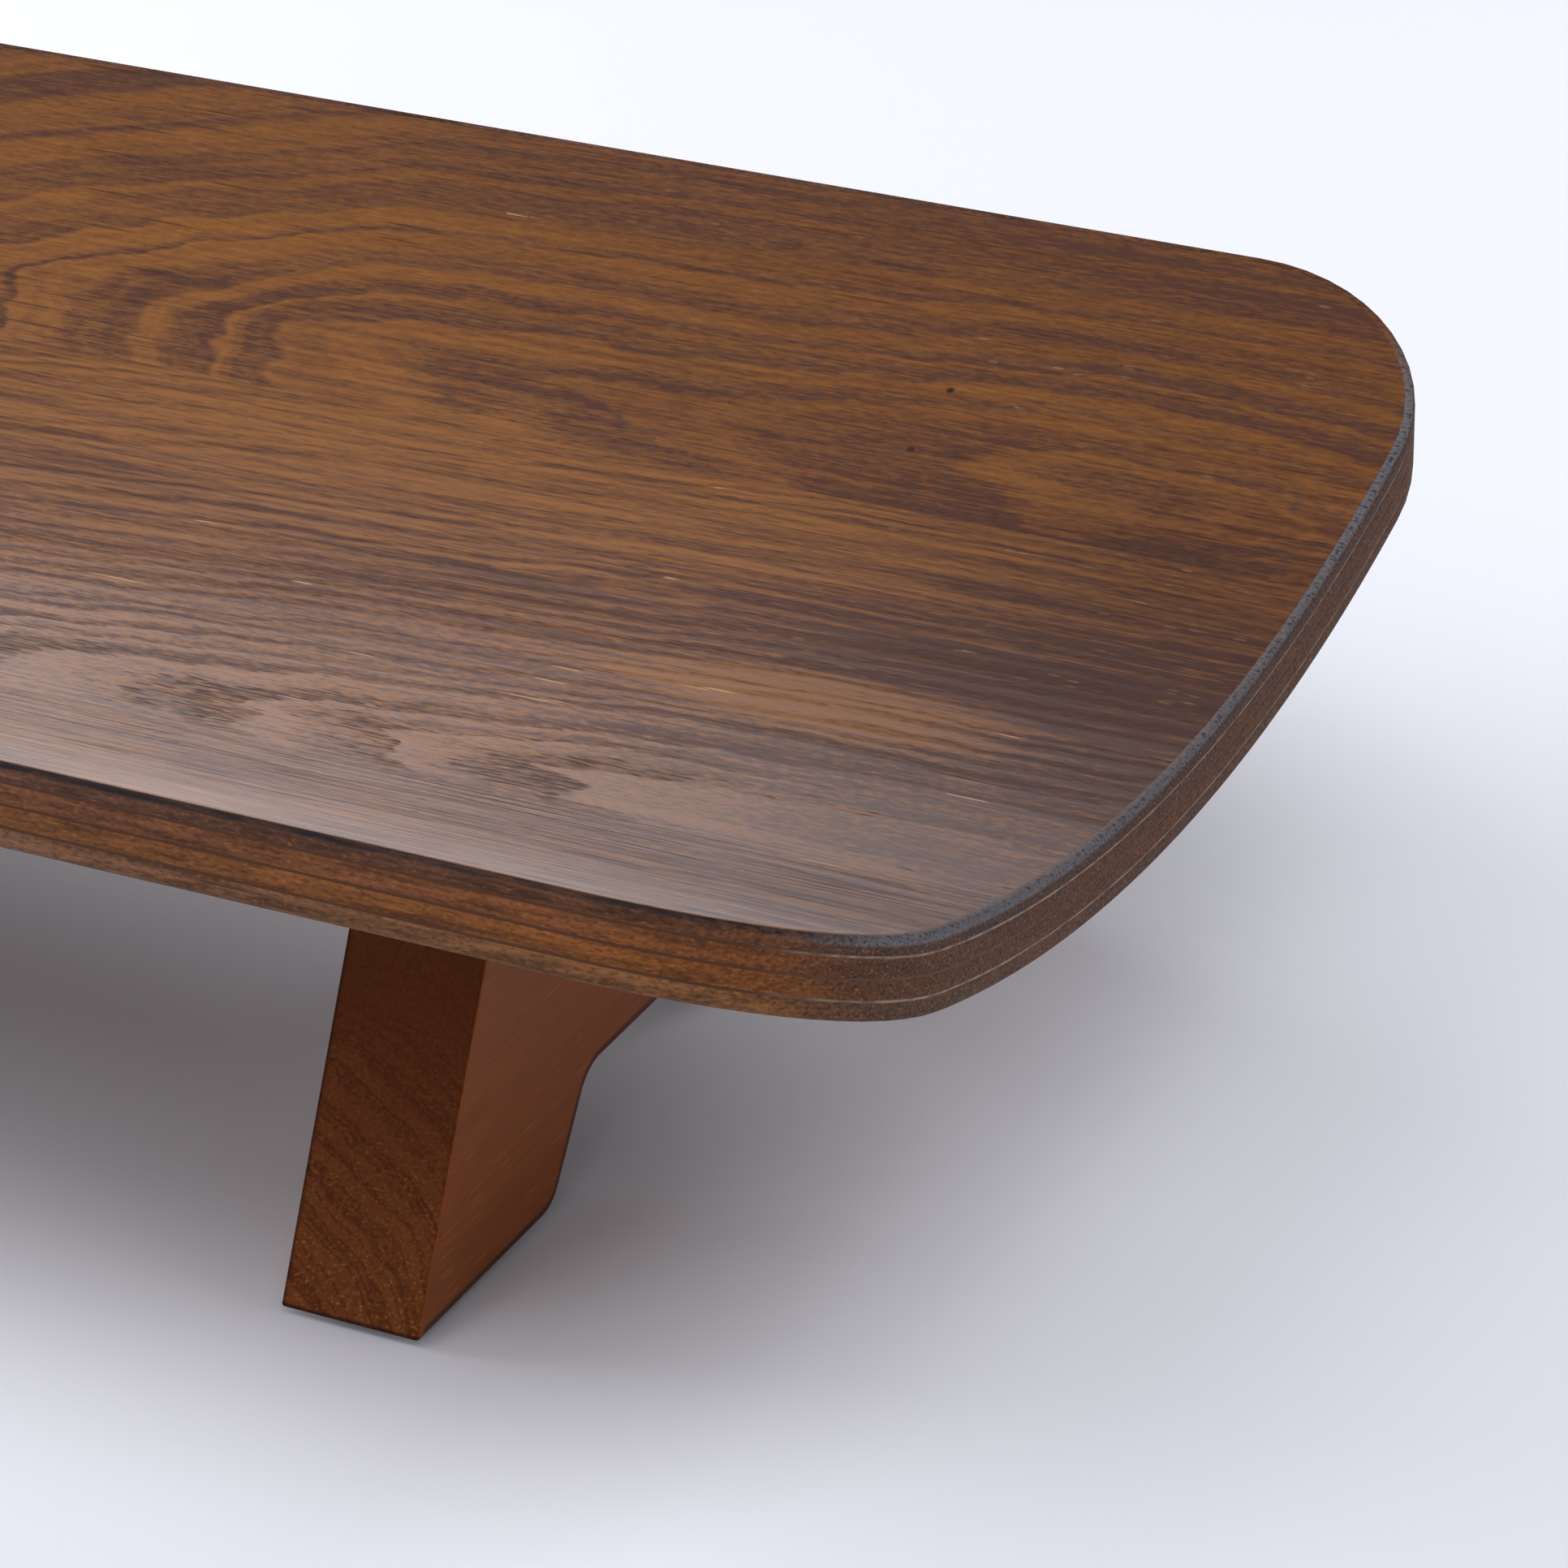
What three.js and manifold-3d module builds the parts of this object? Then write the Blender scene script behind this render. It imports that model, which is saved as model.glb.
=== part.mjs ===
// Footed serving tray: a bent-plywood board, dished across its width, on two arched
// wooden legs. Four plies are glued into the board, each leg is screwed to it from
// below, and a rubber pad sits under each foot.
// Millimetres, +Z up. X runs along the tray and Y across it. The origin is on the
// table, under the middle of the tray.
import * as THREE from "three";
import { mergeVertices } from "three/addons/utils/BufferGeometryUtils.js";
import Module from "manifold-3d";

// Board
const TRAY_LENGTH = 400;
const TRAY_WIDTH = 200; // straight across, between the two top rims
const DISH_RADIUS = 228; // curve of the top face across the width
const CORNER_RADIUS = 30.5;
const EDGE_UNDERCUT = 2.9; // the long edges lean in by this much from square to the top face
const PLY_THICKNESS = 2.2;
const GLUE_LINE = 0.3; // gap between neighbouring plies

// Legs
const LEG_THICKNESS = 18.7; // along X
const LEG_INSET = 67.5; // from the end of the tray to the leg's outer face
const LEG_HEIGHT = 50; // from the sole to the seat, on the centre line
const LEG_SPREAD = 141.2; // across both feet, at the soles
const LEG_SPLAY = 24.8; // lean of the end faces from upright, in degrees
const SOLE_LENGTH = 34.8; // along Y
const ARCH_HEIGHT = 14.6; // above the soles
const ARCH_LEAN = 34.5; // lean of the arch's sides from upright, in degrees
const ARCH_FILLET = 6;
const HEEL_FILLET = 5; // where the arch's side meets the sole
const SEAT_CLEARANCE = 0.3; // between the leg's curved seat and the board

// Screws, two to a leg
const SCREW_SPACING = 44; // along Y
const SCREW_LENGTH = 35;
const SCREW_DIAMETER = 4;
const SCREW_POINT = 4; // length of the cone at the tip
const SCREW_BITE = 6; // how far the point enters the board
const HEAD_DIAMETER = 8;
const HEAD_HEIGHT = 2.3;
const HEAD_LAND = 0.4; // straight rim of the countersunk head
const RECESS_LENGTH = 4.4; // cross recess in the head
const RECESS_WIDTH = 1.1;
const RECESS_DEPTH = 1.5;
const SCREW_CLEARANCE = 0.3; // all round, in the leg and in the board

// Foot pads
const PAD_THICKNESS = 1.2;
const PAD_MARGIN = 3; // from the sole's edges
const PAD_CORNER = 3;

// Facets
const MIDDLE_STEPS = 18; // across the board, between the rounded corners
const CORNER_STEPS = 8; // round each corner of the board
const SEAT_STEPS = 12; // along a leg's seat
const FILLET_STEPS = 5;
const ROUND_STEPS = 24; // round a screw

// Heights and places that follow from the sizes above
const PLIES = ["bottom_face_ply", "lower_core_ply", "upper_core_ply", "top_face_ply"];
const BOARD_THICKNESS = PLIES.length * PLY_THICKNESS + (PLIES.length - 1) * GLUE_LINE;
const SOLE_Z = PAD_THICKNESS;
const UNDERSIDE_Z = SOLE_Z + LEG_HEIGHT + SEAT_CLEARANCE;
const DISH_FLOOR_Z = UNDERSIDE_Z + BOARD_THICKNESS;
const BEND_AXIS_Z = DISH_FLOOR_Z + DISH_RADIUS;
const UNDERSIDE_RADIUS = DISH_RADIUS + BOARD_THICKNESS;
const SEAT_RADIUS = UNDERSIDE_RADIUS + SEAT_CLEARANCE;
const LEG_CENTRE_X = TRAY_LENGTH / 2 - LEG_INSET - LEG_THICKNESS / 2;
const FOOT_CENTRE_Y = LEG_SPREAD / 2 - SOLE_LENGTH / 2;
const SCREW_Y = SCREW_SPACING / 2;
const BOARD_ENTRY_Z = BEND_AXIS_Z - Math.sqrt(UNDERSIDE_RADIUS ** 2 - SCREW_Y ** 2);
const SCREW_TIP_Z = BOARD_ENTRY_Z + SCREW_BITE;
const SCREW_HEAD_Z = SCREW_TIP_Z - SCREW_LENGTH;

const wasm = await Module();
wasm.setup();

const faceVeneer = new THREE.MeshStandardMaterial({ color: 0x6b4124, roughness: 0.45, metalness: 0 });
const coreVeneer = new THREE.MeshStandardMaterial({ color: 0x5a3a22, roughness: 0.6, metalness: 0 });
const legWood = new THREE.MeshStandardMaterial({ color: 0x5c3320, roughness: 0.5, metalness: 0 });
const screwSteel = new THREE.MeshStandardMaterial({ color: 0x9a9690, roughness: 0.35, metalness: 1 });
const padRubber = new THREE.MeshStandardMaterial({ color: 0x1f1c1b, roughness: 0.85, metalness: 0 });

// A closed mesh as a solid that can be cut
function solidOf(geometry) {
  const bare = geometry.clone();
  bare.deleteAttribute("normal");
  bare.deleteAttribute("uv");
  const merged = mergeVertices(bare);
  return new wasm.Manifold(
    new wasm.Mesh({
      numProp: 3,
      vertProperties: new Float32Array(merged.attributes.position.array),
      triVerts: new Uint32Array(merged.index.array),
    }),
  );
}

// A piece with each of the tools cut out of it
function cut(geometry, tools) {
  let solid = solidOf(geometry);
  for (const tool of tools) {
    solid = solid.subtract(solidOf(tool));
  }
  const mesh = solid.getMesh();
  const result = new THREE.BufferGeometry();
  result.setAttribute("position", new THREE.BufferAttribute(new Float32Array(mesh.vertProperties), 3));
  result.setIndex(new THREE.BufferAttribute(new Uint32Array(mesh.triVerts), 1));
  result.computeVertexNormals();
  return result;
}

// A closed outline through corner points, each rounded by its own radius, 0 for a sharp one
function roundedShape(corners) {
  const shape = new THREE.Shape();
  corners.forEach(({ at, radius }, index) => {
    const before = corners.at(index - 1).at;
    const after = corners[(index + 1) % corners.length].at;
    const inward = before.clone().sub(at).normalize();
    const outward = after.clone().sub(at).normalize();
    const halfAngle = Math.acos(THREE.MathUtils.clamp(inward.dot(outward), -1, 1)) / 2;
    const reach = radius / Math.tan(halfAngle);
    const start = at.clone().addScaledVector(inward, reach);
    const end = at.clone().addScaledVector(outward, reach);
    if (index === 0) {
      shape.moveTo(start.x, start.y);
    } else {
      shape.lineTo(start.x, start.y);
    }
    if (radius > 0) {
      const centre = at.clone().add(inward.clone().add(outward).setLength(radius / Math.sin(halfAngle)));
      const from = Math.atan2(start.y - centre.y, start.x - centre.x);
      const to = Math.atan2(end.y - centre.y, end.x - centre.x);
      const clockwise = inward.cross(outward) > 0;
      shape.absarc(centre.x, centre.y, radius, from, to, clockwise);
    }
  });
  shape.closePath();
  return shape;
}

// How far the long edges lean in at a depth below the top face
function undercutAt(depth) {
  return (EDGE_UNDERCUT * depth) / BOARD_THICKNESS;
}

// Lines along the flat board, from one long edge to the other. Each holds s, its distance
// from the centre line measured along the curve, and its half length x.
function boardLines(depth) {
  const rimAngle = Math.asin(TRAY_WIDTH / 2 / DISH_RADIUS);
  const halfWidth = DISH_RADIUS * rimAngle - undercutAt(depth);
  const straight = halfWidth - CORNER_RADIUS;
  const lines = [];
  for (let step = 0; step < MIDDLE_STEPS; step++) {
    lines.push({ s: straight * ((2 * step) / MIDDLE_STEPS - 1), x: TRAY_LENGTH / 2 });
  }
  for (let step = 0; step <= CORNER_STEPS; step++) {
    const angle = (Math.PI / 2) * (step / CORNER_STEPS);
    lines.push({
      s: straight + CORNER_RADIUS * Math.sin(angle),
      x: TRAY_LENGTH / 2 - CORNER_RADIUS * (1 - Math.cos(angle)),
    });
  }
  const mirrored = lines.slice(MIDDLE_STEPS + 1).map(({ s, x }) => ({ s: -s, x }));
  return [...mirrored.reverse(), ...lines];
}

// One ply, bent to the dish, between two depths below the top face
function plyGeometry(upperDepth, lowerDepth) {
  const positions = [];
  for (const depth of [upperDepth, lowerDepth]) {
    const radius = DISH_RADIUS + depth;
    for (const { s, x } of boardLines(depth)) {
      const y = radius * Math.sin(s / DISH_RADIUS);
      const z = BEND_AXIS_Z - radius * Math.cos(s / DISH_RADIUS);
      positions.push(-x, y, z, x, y, z);
    }
  }
  const lower = positions.length / 6; // first vertex of the lower face
  const last = lower - 2; // first vertex of the upper face's last line
  const indices = [];
  const quad = (a, b, c, d) => indices.push(a, b, c, a, c, d);
  for (let v = 0; v < last; v += 2) {
    quad(v, v + 1, v + 3, v + 2);
    quad(lower + v, lower + v + 2, lower + v + 3, lower + v + 1);
    quad(v, v + 2, lower + v + 2, lower + v);
    quad(v + 1, lower + v + 1, lower + v + 3, v + 3);
  }
  quad(0, lower, lower + 1, 1);
  quad(last, last + 1, lower + last + 1, lower + last);
  const geometry = new THREE.BufferGeometry();
  geometry.setAttribute("position", new THREE.Float32BufferAttribute(positions, 3));
  geometry.setIndex(indices);
  geometry.computeVertexNormals();
  return geometry;
}

// Turns an outline drawn in Y and Z into a slab along X, centred on X = 0
function slabAlongX(shape, thickness, curveSegments) {
  const geometry = new THREE.ExtrudeGeometry(shape, { depth: thickness, bevelEnabled: false, curveSegments });
  geometry.translate(0, 0, -thickness / 2);
  const toWorld = new THREE.Matrix4().makeBasis(
    new THREE.Vector3(0, 1, 0),
    new THREE.Vector3(0, 0, 1),
    new THREE.Vector3(1, 0, 0),
  );
  return geometry.applyMatrix4(toWorld);
}

// A leg from end to end: two splayed feet, the arch between them and the curved seat
function legGeometry() {
  const splay = Math.tan(THREE.MathUtils.degToRad(LEG_SPLAY));
  const lean = Math.tan(THREE.MathUtils.degToRad(ARCH_LEAN));
  const toeY = LEG_SPREAD / 2;
  const heelY = toeY - SOLE_LENGTH;
  const archY = heelY - ARCH_HEIGHT * lean;
  const archZ = SOLE_Z + ARCH_HEIGHT;

  // The sloping end face, y = toeY - splay * rise, meets the seat circle at this rise
  const drop = BEND_AXIS_Z - SOLE_Z;
  const a = 1 + splay ** 2;
  const b = drop + toeY * splay;
  const c = drop ** 2 + toeY ** 2 - SEAT_RADIUS ** 2;
  const seatRise = (b - Math.sqrt(b ** 2 - a * c)) / a;
  const seatAngle = Math.asin((toeY - splay * seatRise) / SEAT_RADIUS);

  const corner = (y, z, radius = 0) => ({ at: new THREE.Vector2(y, z), radius });
  const underneath = [
    corner(-toeY, SOLE_Z),
    corner(-heelY, SOLE_Z, HEEL_FILLET),
    corner(-archY, archZ, ARCH_FILLET),
    corner(archY, archZ, ARCH_FILLET),
    corner(heelY, SOLE_Z, HEEL_FILLET),
    corner(toeY, SOLE_Z),
  ];
  const seat = [];
  for (let step = 0; step <= SEAT_STEPS; step++) {
    const angle = seatAngle * (1 - (2 * step) / SEAT_STEPS);
    seat.push(corner(SEAT_RADIUS * Math.sin(angle), BEND_AXIS_Z - SEAT_RADIUS * Math.cos(angle)));
  }
  return slabAlongX(roundedShape([...underneath, ...seat]), LEG_THICKNESS, FILLET_STEPS);
}

// A shape turned round an upright axis, from [radius, height] points listed from the bottom up
function turned(profile) {
  const points = profile.map(([radius, height]) => new THREE.Vector2(radius, height));
  return new THREE.LatheGeometry(points, ROUND_STEPS).rotateX(Math.PI / 2);
}

// A countersunk wood screw, point up, standing on its head at z = 0
function screwGeometry() {
  const radius = SCREW_DIAMETER / 2;
  const screw = turned([
    [0, 0],
    [HEAD_DIAMETER / 2, 0],
    [HEAD_DIAMETER / 2, HEAD_LAND],
    [radius, HEAD_HEIGHT],
    [radius, SCREW_LENGTH - SCREW_POINT],
    [0, SCREW_LENGTH],
  ]);
  // The recess tool starts a little below the head, so that the cut is open
  const slot = new THREE.BoxGeometry(RECESS_LENGTH, RECESS_WIDTH, 2 * RECESS_DEPTH);
  return cut(screw, [slot, slot.clone().rotateZ(Math.PI / 2)]);
}

// The hole for a screw: the same shape with clearance all round, open through the arch
function screwBoreGeometry() {
  const radius = SCREW_DIAMETER / 2 + SCREW_CLEARANCE;
  const headRadius = HEAD_DIAMETER / 2 + SCREW_CLEARANCE;
  return turned([
    [0, -SCREW_HEAD_Z],
    [headRadius, -SCREW_HEAD_Z],
    [headRadius, HEAD_LAND + SCREW_CLEARANCE],
    [radius, HEAD_HEIGHT + SCREW_CLEARANCE],
    [radius, SCREW_LENGTH - SCREW_POINT + SCREW_CLEARANCE],
    [0, SCREW_LENGTH + SCREW_CLEARANCE],
  ]);
}

// A pad that follows the sole's outline, inside a margin
function padGeometry() {
  const halfX = LEG_THICKNESS / 2 - PAD_MARGIN;
  const halfY = SOLE_LENGTH / 2 - PAD_MARGIN;
  const corner = (x, y) => ({ at: new THREE.Vector2(x, y), radius: PAD_CORNER });
  const outline = roundedShape([
    corner(-halfX, -halfY),
    corner(halfX, -halfY),
    corner(halfX, halfY),
    corner(-halfX, halfY),
  ]);
  return new THREE.ExtrudeGeometry(outline, {
    depth: PAD_THICKNESS,
    bevelEnabled: false,
    curveSegments: FILLET_STEPS,
  });
}

const tray = new THREE.Group();

function addPiece(name, geometry, material, x = 0, y = 0, z = 0) {
  const piece = new THREE.Mesh(geometry, material);
  piece.name = name;
  piece.position.set(x, y, z);
  tray.add(piece);
}

const sides = [
  { side: "left", x: -LEG_CENTRE_X },
  { side: "right", x: LEG_CENTRE_X },
];
const ends = [
  { end: "front", sign: -1 },
  { end: "rear", sign: 1 },
];

const screwBores = sides.flatMap(({ x }) =>
  ends.map(({ sign }) => screwBoreGeometry().translate(x, sign * SCREW_Y, SCREW_HEAD_Z)),
);

PLIES.forEach((name, index) => {
  const lowerDepth = BOARD_THICKNESS - index * (PLY_THICKNESS + GLUE_LINE);
  const ply = plyGeometry(lowerDepth - PLY_THICKNESS, lowerDepth);
  const isFace = name.endsWith("face_ply");
  addPiece(name, cut(ply, screwBores), isFace ? faceVeneer : coreVeneer);
});

for (const { side, x } of sides) {
  const legBores = ends.map(({ sign }) => screwBoreGeometry().translate(0, sign * SCREW_Y, SCREW_HEAD_Z));
  addPiece(`${side}_leg`, cut(legGeometry(), legBores), legWood, x);
  for (const { end, sign } of ends) {
    addPiece(`${side}_${end}_screw`, screwGeometry(), screwSteel, x, sign * SCREW_Y, SCREW_HEAD_Z);
    addPiece(`${side}_${end}_foot_pad`, padGeometry(), padRubber, x, sign * FOOT_CENTRE_Y);
  }
}

export default tray;
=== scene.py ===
"""A footed serving tray: a bent-plywood board on two arched wooden legs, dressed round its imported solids."""

import math
from functools import partial

import bmesh
import bpy
from bpy.props import FloatProperty, FloatVectorProperty, PointerProperty
from bpy.types import Operator, Panel, PropertyGroup
from mathutils import Matrix, Vector


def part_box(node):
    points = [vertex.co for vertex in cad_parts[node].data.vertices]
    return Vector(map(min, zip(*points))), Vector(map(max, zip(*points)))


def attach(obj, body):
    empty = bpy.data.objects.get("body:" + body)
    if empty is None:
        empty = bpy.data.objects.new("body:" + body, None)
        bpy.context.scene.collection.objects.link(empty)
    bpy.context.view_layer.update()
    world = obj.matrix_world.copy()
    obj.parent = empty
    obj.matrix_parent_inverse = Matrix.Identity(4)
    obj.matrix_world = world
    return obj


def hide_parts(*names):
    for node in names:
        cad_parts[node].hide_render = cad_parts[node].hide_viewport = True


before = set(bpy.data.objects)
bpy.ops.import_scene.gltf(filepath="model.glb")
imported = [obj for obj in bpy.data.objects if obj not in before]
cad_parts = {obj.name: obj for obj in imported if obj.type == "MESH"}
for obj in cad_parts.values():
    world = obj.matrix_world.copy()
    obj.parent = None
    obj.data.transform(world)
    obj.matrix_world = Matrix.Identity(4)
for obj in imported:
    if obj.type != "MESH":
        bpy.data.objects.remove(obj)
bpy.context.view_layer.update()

bl_info = {
    "name": "Footed Serving Tray",
    "version": (1, 0, 0),
    "blender": (4, 5, 0),
    "location": "View3D > Sidebar > Tray",
    "description": "Builds the plies, glue lines, legs, screws and pads of a footed plywood tray",
    "category": "Add Mesh",
}

MM = 0.001
BODY = "root"

PLIES = ("top_face_ply", "upper_core_ply", "lower_core_ply", "bottom_face_ply")
SIDES = ("left", "right")
ENDS = ("front", "rear")
FEET = tuple(f"{side}_{end}" for side in SIDES for end in ENDS)

# Facets
CORNER_STEPS = 14
MIDDLE_STEPS = 56
COLUMNS = 16
ARRIS_STEPS = 5
SEAT_STEPS = 40
FILLET_STEPS = 8
ROUND_STEPS = 32
THREAD_STEPS = 10  # rows to one turn of a thread
SHARP_ANGLE = math.radians(38)
SUPPORT = 0.4 * MM  # flat margin beside an eased edge, so that it shades as flat
SMALLEST_FILLET = 0.2 * MM  # what is left of a rounded corner that is moved in past its radius

# Kinds of shader node with their settings
MATH = "ShaderNodeMath"
PLUS = (MATH, {"operation": "ADD"})
MINUS = (MATH, {"operation": "SUBTRACT"})
TIMES = (MATH, {"operation": "MULTIPLY"})
OVER = (MATH, {"operation": "DIVIDE"})
TO_POWER = (MATH, {"operation": "POWER"})
TIMES_PLUS = (MATH, {"operation": "MULTIPLY_ADD"})
LARGER = (MATH, {"operation": "MAXIMUM"})
SMALLER = (MATH, {"operation": "MINIMUM"})
BELOW = (MATH, {"operation": "LESS_THAN"})
ABOVE = (MATH, {"operation": "GREATER_THAN"})
WHOLE = (MATH, {"operation": "FLOOR"})
FRACTION = (MATH, {"operation": "FRACT"})
WRAPPED = (MATH, {"operation": "FLOORED_MODULO"})
UNSIGNED = (MATH, {"operation": "ABSOLUTE"})
VECTOR_MATH = "ShaderNodeVectorMath"
VECTOR_MINUS = (VECTOR_MATH, {"operation": "SUBTRACT"})
VECTOR_TIMES = (VECTOR_MATH, {"operation": "MULTIPLY"})
LENGTH = (VECTOR_MATH, {"operation": "LENGTH"})
DISTANCE = (VECTOR_MATH, {"operation": "DISTANCE"})
RANGE = ("ShaderNodeMapRange", {})
SMOOTH_RANGE = ("ShaderNodeMapRange", {"interpolation_type": "SMOOTHSTEP"})
BLEND = ("ShaderNodeMix", {})
PAINT = ("ShaderNodeMix", {"data_type": "RGBA"})
TINT = ("ShaderNodeMix", {"data_type": "RGBA", "blend_type": "MULTIPLY"})
NOISE = ("ShaderNodeTexNoise", {})
LINE_NOISE = ("ShaderNodeTexNoise", {"noise_dimensions": "1D"})
DICE = ("ShaderNodeTexWhiteNoise", {"noise_dimensions": "1D"})
CELLS = ("ShaderNodeTexVoronoi", {})
FLAT_CELLS = ("ShaderNodeTexVoronoi", {"voronoi_dimensions": "2D"})
CURVE = ("ShaderNodeFloatCurve", {})
SPLIT = ("ShaderNodeSeparateXYZ", {})
JOIN = ("ShaderNodeCombineXYZ", {})
BUMP = ("ShaderNodeBump", {})
GRAIN = ("ShaderNodeAttribute", {"attribute_name": "grain"})
GRIME_AND_SHADE = ("ShaderNodeAttribute", {"attribute_name": "grime"})
COORDINATES = ("ShaderNodeTexCoord", {})

# Spans of a noise's values that are stretched to a pattern's full swing
TIGHT_SPAN = (0.38, 0.62)
MAIN_SPAN = (0.3, 0.7)
WIDE_SPAN = (0.25, 0.75)


def linear(hex_colour):
    """An sRGB hex colour as linear RGBA."""
    shares = [int(hex_colour[at:at + 2], 16) / 255 for at in (1, 3, 5)]
    channels = [c / 12.92 if c <= 0.04045 else ((c + 0.055) / 1.055) ** 2.4 for c in shares]
    return (*channels, 1.0)


def size(name, description, millimetres):
    """A length property with its default in millimetres."""
    return FloatProperty(
        name=name, description=description, default=millimetres * MM, unit="LENGTH", precision=5
    )


def angle(name, description, degrees):
    """An angle property with its default in degrees."""
    return FloatProperty(name=name, description=description, default=math.radians(degrees), subtype="ANGLE")


def colour(name, description, hex_colour):
    """A colour property with its default as an sRGB hex value."""
    return FloatVectorProperty(
        name=name, description=description, default=linear(hex_colour), size=4, min=0, max=1, subtype="COLOR"
    )


class BoardSettings(PropertyGroup):
    """Sizes and stains of the bent-plywood board"""

    dish_radius: size("Dish radius", "Curve of the top face across the width", 228)
    corner_radius: size("Corner radius", "Rounding of the board's corners, seen from above", 30.5)
    edge_undercut: size("Edge undercut", "How far the long edges lean in over the board's thickness", 2.9)
    ply_thickness: size("Ply thickness", "Thickness of one ply", 2.2)
    glue_line: size("Glue line", "Gap between two plies, filled with glue", 0.3)
    top_arris: size("Top arris", "Rounding of the rim's upper edge", 0.9)
    lower_arris: size("Lower arris", "Rounding of the rim's lower edge", 0.7)
    joint_arris: size("Joint arris", "Eased edge of a ply beside a glue line", 0.06)
    late_wood: colour("Late wood", "Stained veneer between the pore bands", "#7d5026")
    early_wood: colour("Early wood", "Stained veneer in the pore bands", "#47291d")
    pore: colour("Pores", "Open pores of the veneer", "#24150f")
    # Also colours painted glints: bright ticks where light catches a pore's rim
    fleck: colour("Flecks", "Pores filled with pale lacquer dust", "#b0906a")
    # Also colours the painted highlight along the top arris
    edge_fleck: colour("Edge flecks", "Bright specks on the cut edge", "#96662f")
    top_edge: colour("Top edge", "Top face ply where it was sawn and sanded", "#4e3329")
    upper_core: colour("Upper core", "Upper core ply at the edge", "#5a3724")
    lower_core: colour("Lower core", "Lower core ply at the edge", "#5f3a20")
    bottom_edge: colour("Bottom edge", "Bottom face ply where it was sawn and sanded", "#5c3f2e")
    scorch: colour("Scorch", "Arris darkened by sanding", "#17161a")
    stained_glue: colour("Stained glue", "Glue line that the stain covers", "#452b1d")
    glue: colour("Glue", "Bare cured glue between the plies", "#a39284")
    # Painted sheen: grey-blue light mirrored in the lacquer on the top ply's end grain
    painted_end_sheen: colour("Sealed end", "Lacquered end grain of the top ply", "#585d66")


class LegSettings(PropertyGroup):
    """Sizes and stain of the two legs"""

    splay: angle("Splay", "Lean of the end faces from upright", 24.8)
    sole_length: size("Sole length", "Length of one foot on the table", 34.8)
    arch_height: size("Arch height", "Height of the arch above the soles", 14.6)
    arch_lean: angle("Arch lean", "Lean of the arch's sides from upright", 34.5)
    arch_fillet: size("Arch fillet", "Rounding at the top of the arch", 6)
    heel_fillet: size("Heel fillet", "Rounding where the arch meets the sole", 5)
    toe_fillet: size("Toe fillet", "Rounding of the foot's outer corner", 0.4)
    arris: size("Arris", "Rounding of the long edges", 0.5)
    # The darkened margin is partly grime, partly painted shade
    dark_edge: size("Dark edge", "Width of the darkened margin along the soles and the arch", 1)
    seat_clearance: size("Seat clearance", "Gap between the seat and the board", 0.3)
    side_wood: colour("Side wood", "Stained wood along the grain", "#82461f")
    end_wood: colour("End wood", "Stained end grain, which drinks more stain", "#623416")
    fleck: colour("Flecks", "Bright flecks of the end grain", "#9e6830")


class ScrewSettings(PropertyGroup):
    """Sizes and finish of the four countersunk wood screws"""

    diameter: size("Diameter", "Shank and thread crest", 4)
    core_diameter: size("Core diameter", "Root of the thread", 2.7)
    pitch: size("Pitch", "Distance between threads", 1.8)
    plain_shank: size("Plain shank", "Length without thread below the head", 10)
    point: size("Point", "Length of the cone at the tip", 4)
    head_diameter: size("Head diameter", "Across the countersunk head", 8)
    head_height: size("Head height", "From the face to the shank", 2.3)
    head_land: size("Head land", "Straight rim of the head", 0.4)
    recess_length: size("Recess length", "Across the cross recess", 4.4)
    recess_width: size("Recess width", "Width of one slot of the recess", 1.1)
    recess_depth: size("Recess depth", "Depth of the recess", 1.5)
    clearance: size("Clearance", "Room round the screw in the leg", 0.3)
    zinc: colour("Zinc", "Plated surface", "#b9b6ae")


class PadSettings(PropertyGroup):
    """Sizes and colour of the four foot pads"""

    corner: size("Corner", "Rounding of the pad's corners", 3)
    edge: size("Edge", "Rounding of the pad's rim", 0.35)
    rubber: colour("Rubber", "Moulded rubber", "#221f1e")


class StageSettings(PropertyGroup):
    """Camera, light and floor"""

    target: FloatVectorProperty(
        name="Target", description="Point that the camera looks at", default=(0.15958, -0.02672, 0.0612),
        subtype="XYZ", unit="LENGTH"
    )
    distance: FloatProperty(
        name="Distance", description="From camera to target", default=0.69226, unit="LENGTH"
    )
    azimuth: angle("Azimuth", "Camera's turn to the right of the front", 25.5)
    elevation: angle("Elevation", "Camera's height above the horizon", 26.77)
    focal_length: FloatProperty(
        name="Focal length", description="Lens on a 36 mm sensor, in mm", default=134.87
    )
    floor: colour("Floor", "Pale card under the tray", "#dddfe9")
    sky: colour("Fill", "Light from all round", "#eef0ff")
    sheen: colour("Sheen", "Pale cards mirrored in the lacquer", "#f2f5ff")


class TraySettings(PropertyGroup):
    """Everything that can be set on the tray"""

    board: PointerProperty(type=BoardSettings)
    legs: PointerProperty(type=LegSettings)
    screws: PointerProperty(type=ScrewSettings)
    pads: PointerProperty(type=PadSettings)
    stage: PointerProperty(type=StageSettings)


def fill(tree, socket, value):
    """Links a socket to another node's output, or sets it to a value."""
    if isinstance(value, bpy.types.NodeSocket):
        tree.links.new(value, socket)
    else:
        socket.default_value = value


def add_node(tree, kind, *values, **named):
    """Adds a node, fills its inputs in order and by name, and returns its first output."""
    node_type, settings = kind
    node = tree.nodes.new(node_type)
    for name, setting in settings.items():
        setattr(node, name, setting)
    open_inputs = [socket for socket in node.inputs if socket.enabled]
    for socket, value in zip(open_inputs, values):
        fill(tree, socket, value)
    for name, value in named.items():
        fill(tree, node.inputs[name], value)
    return next(socket for socket in node.outputs if socket.enabled)


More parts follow.
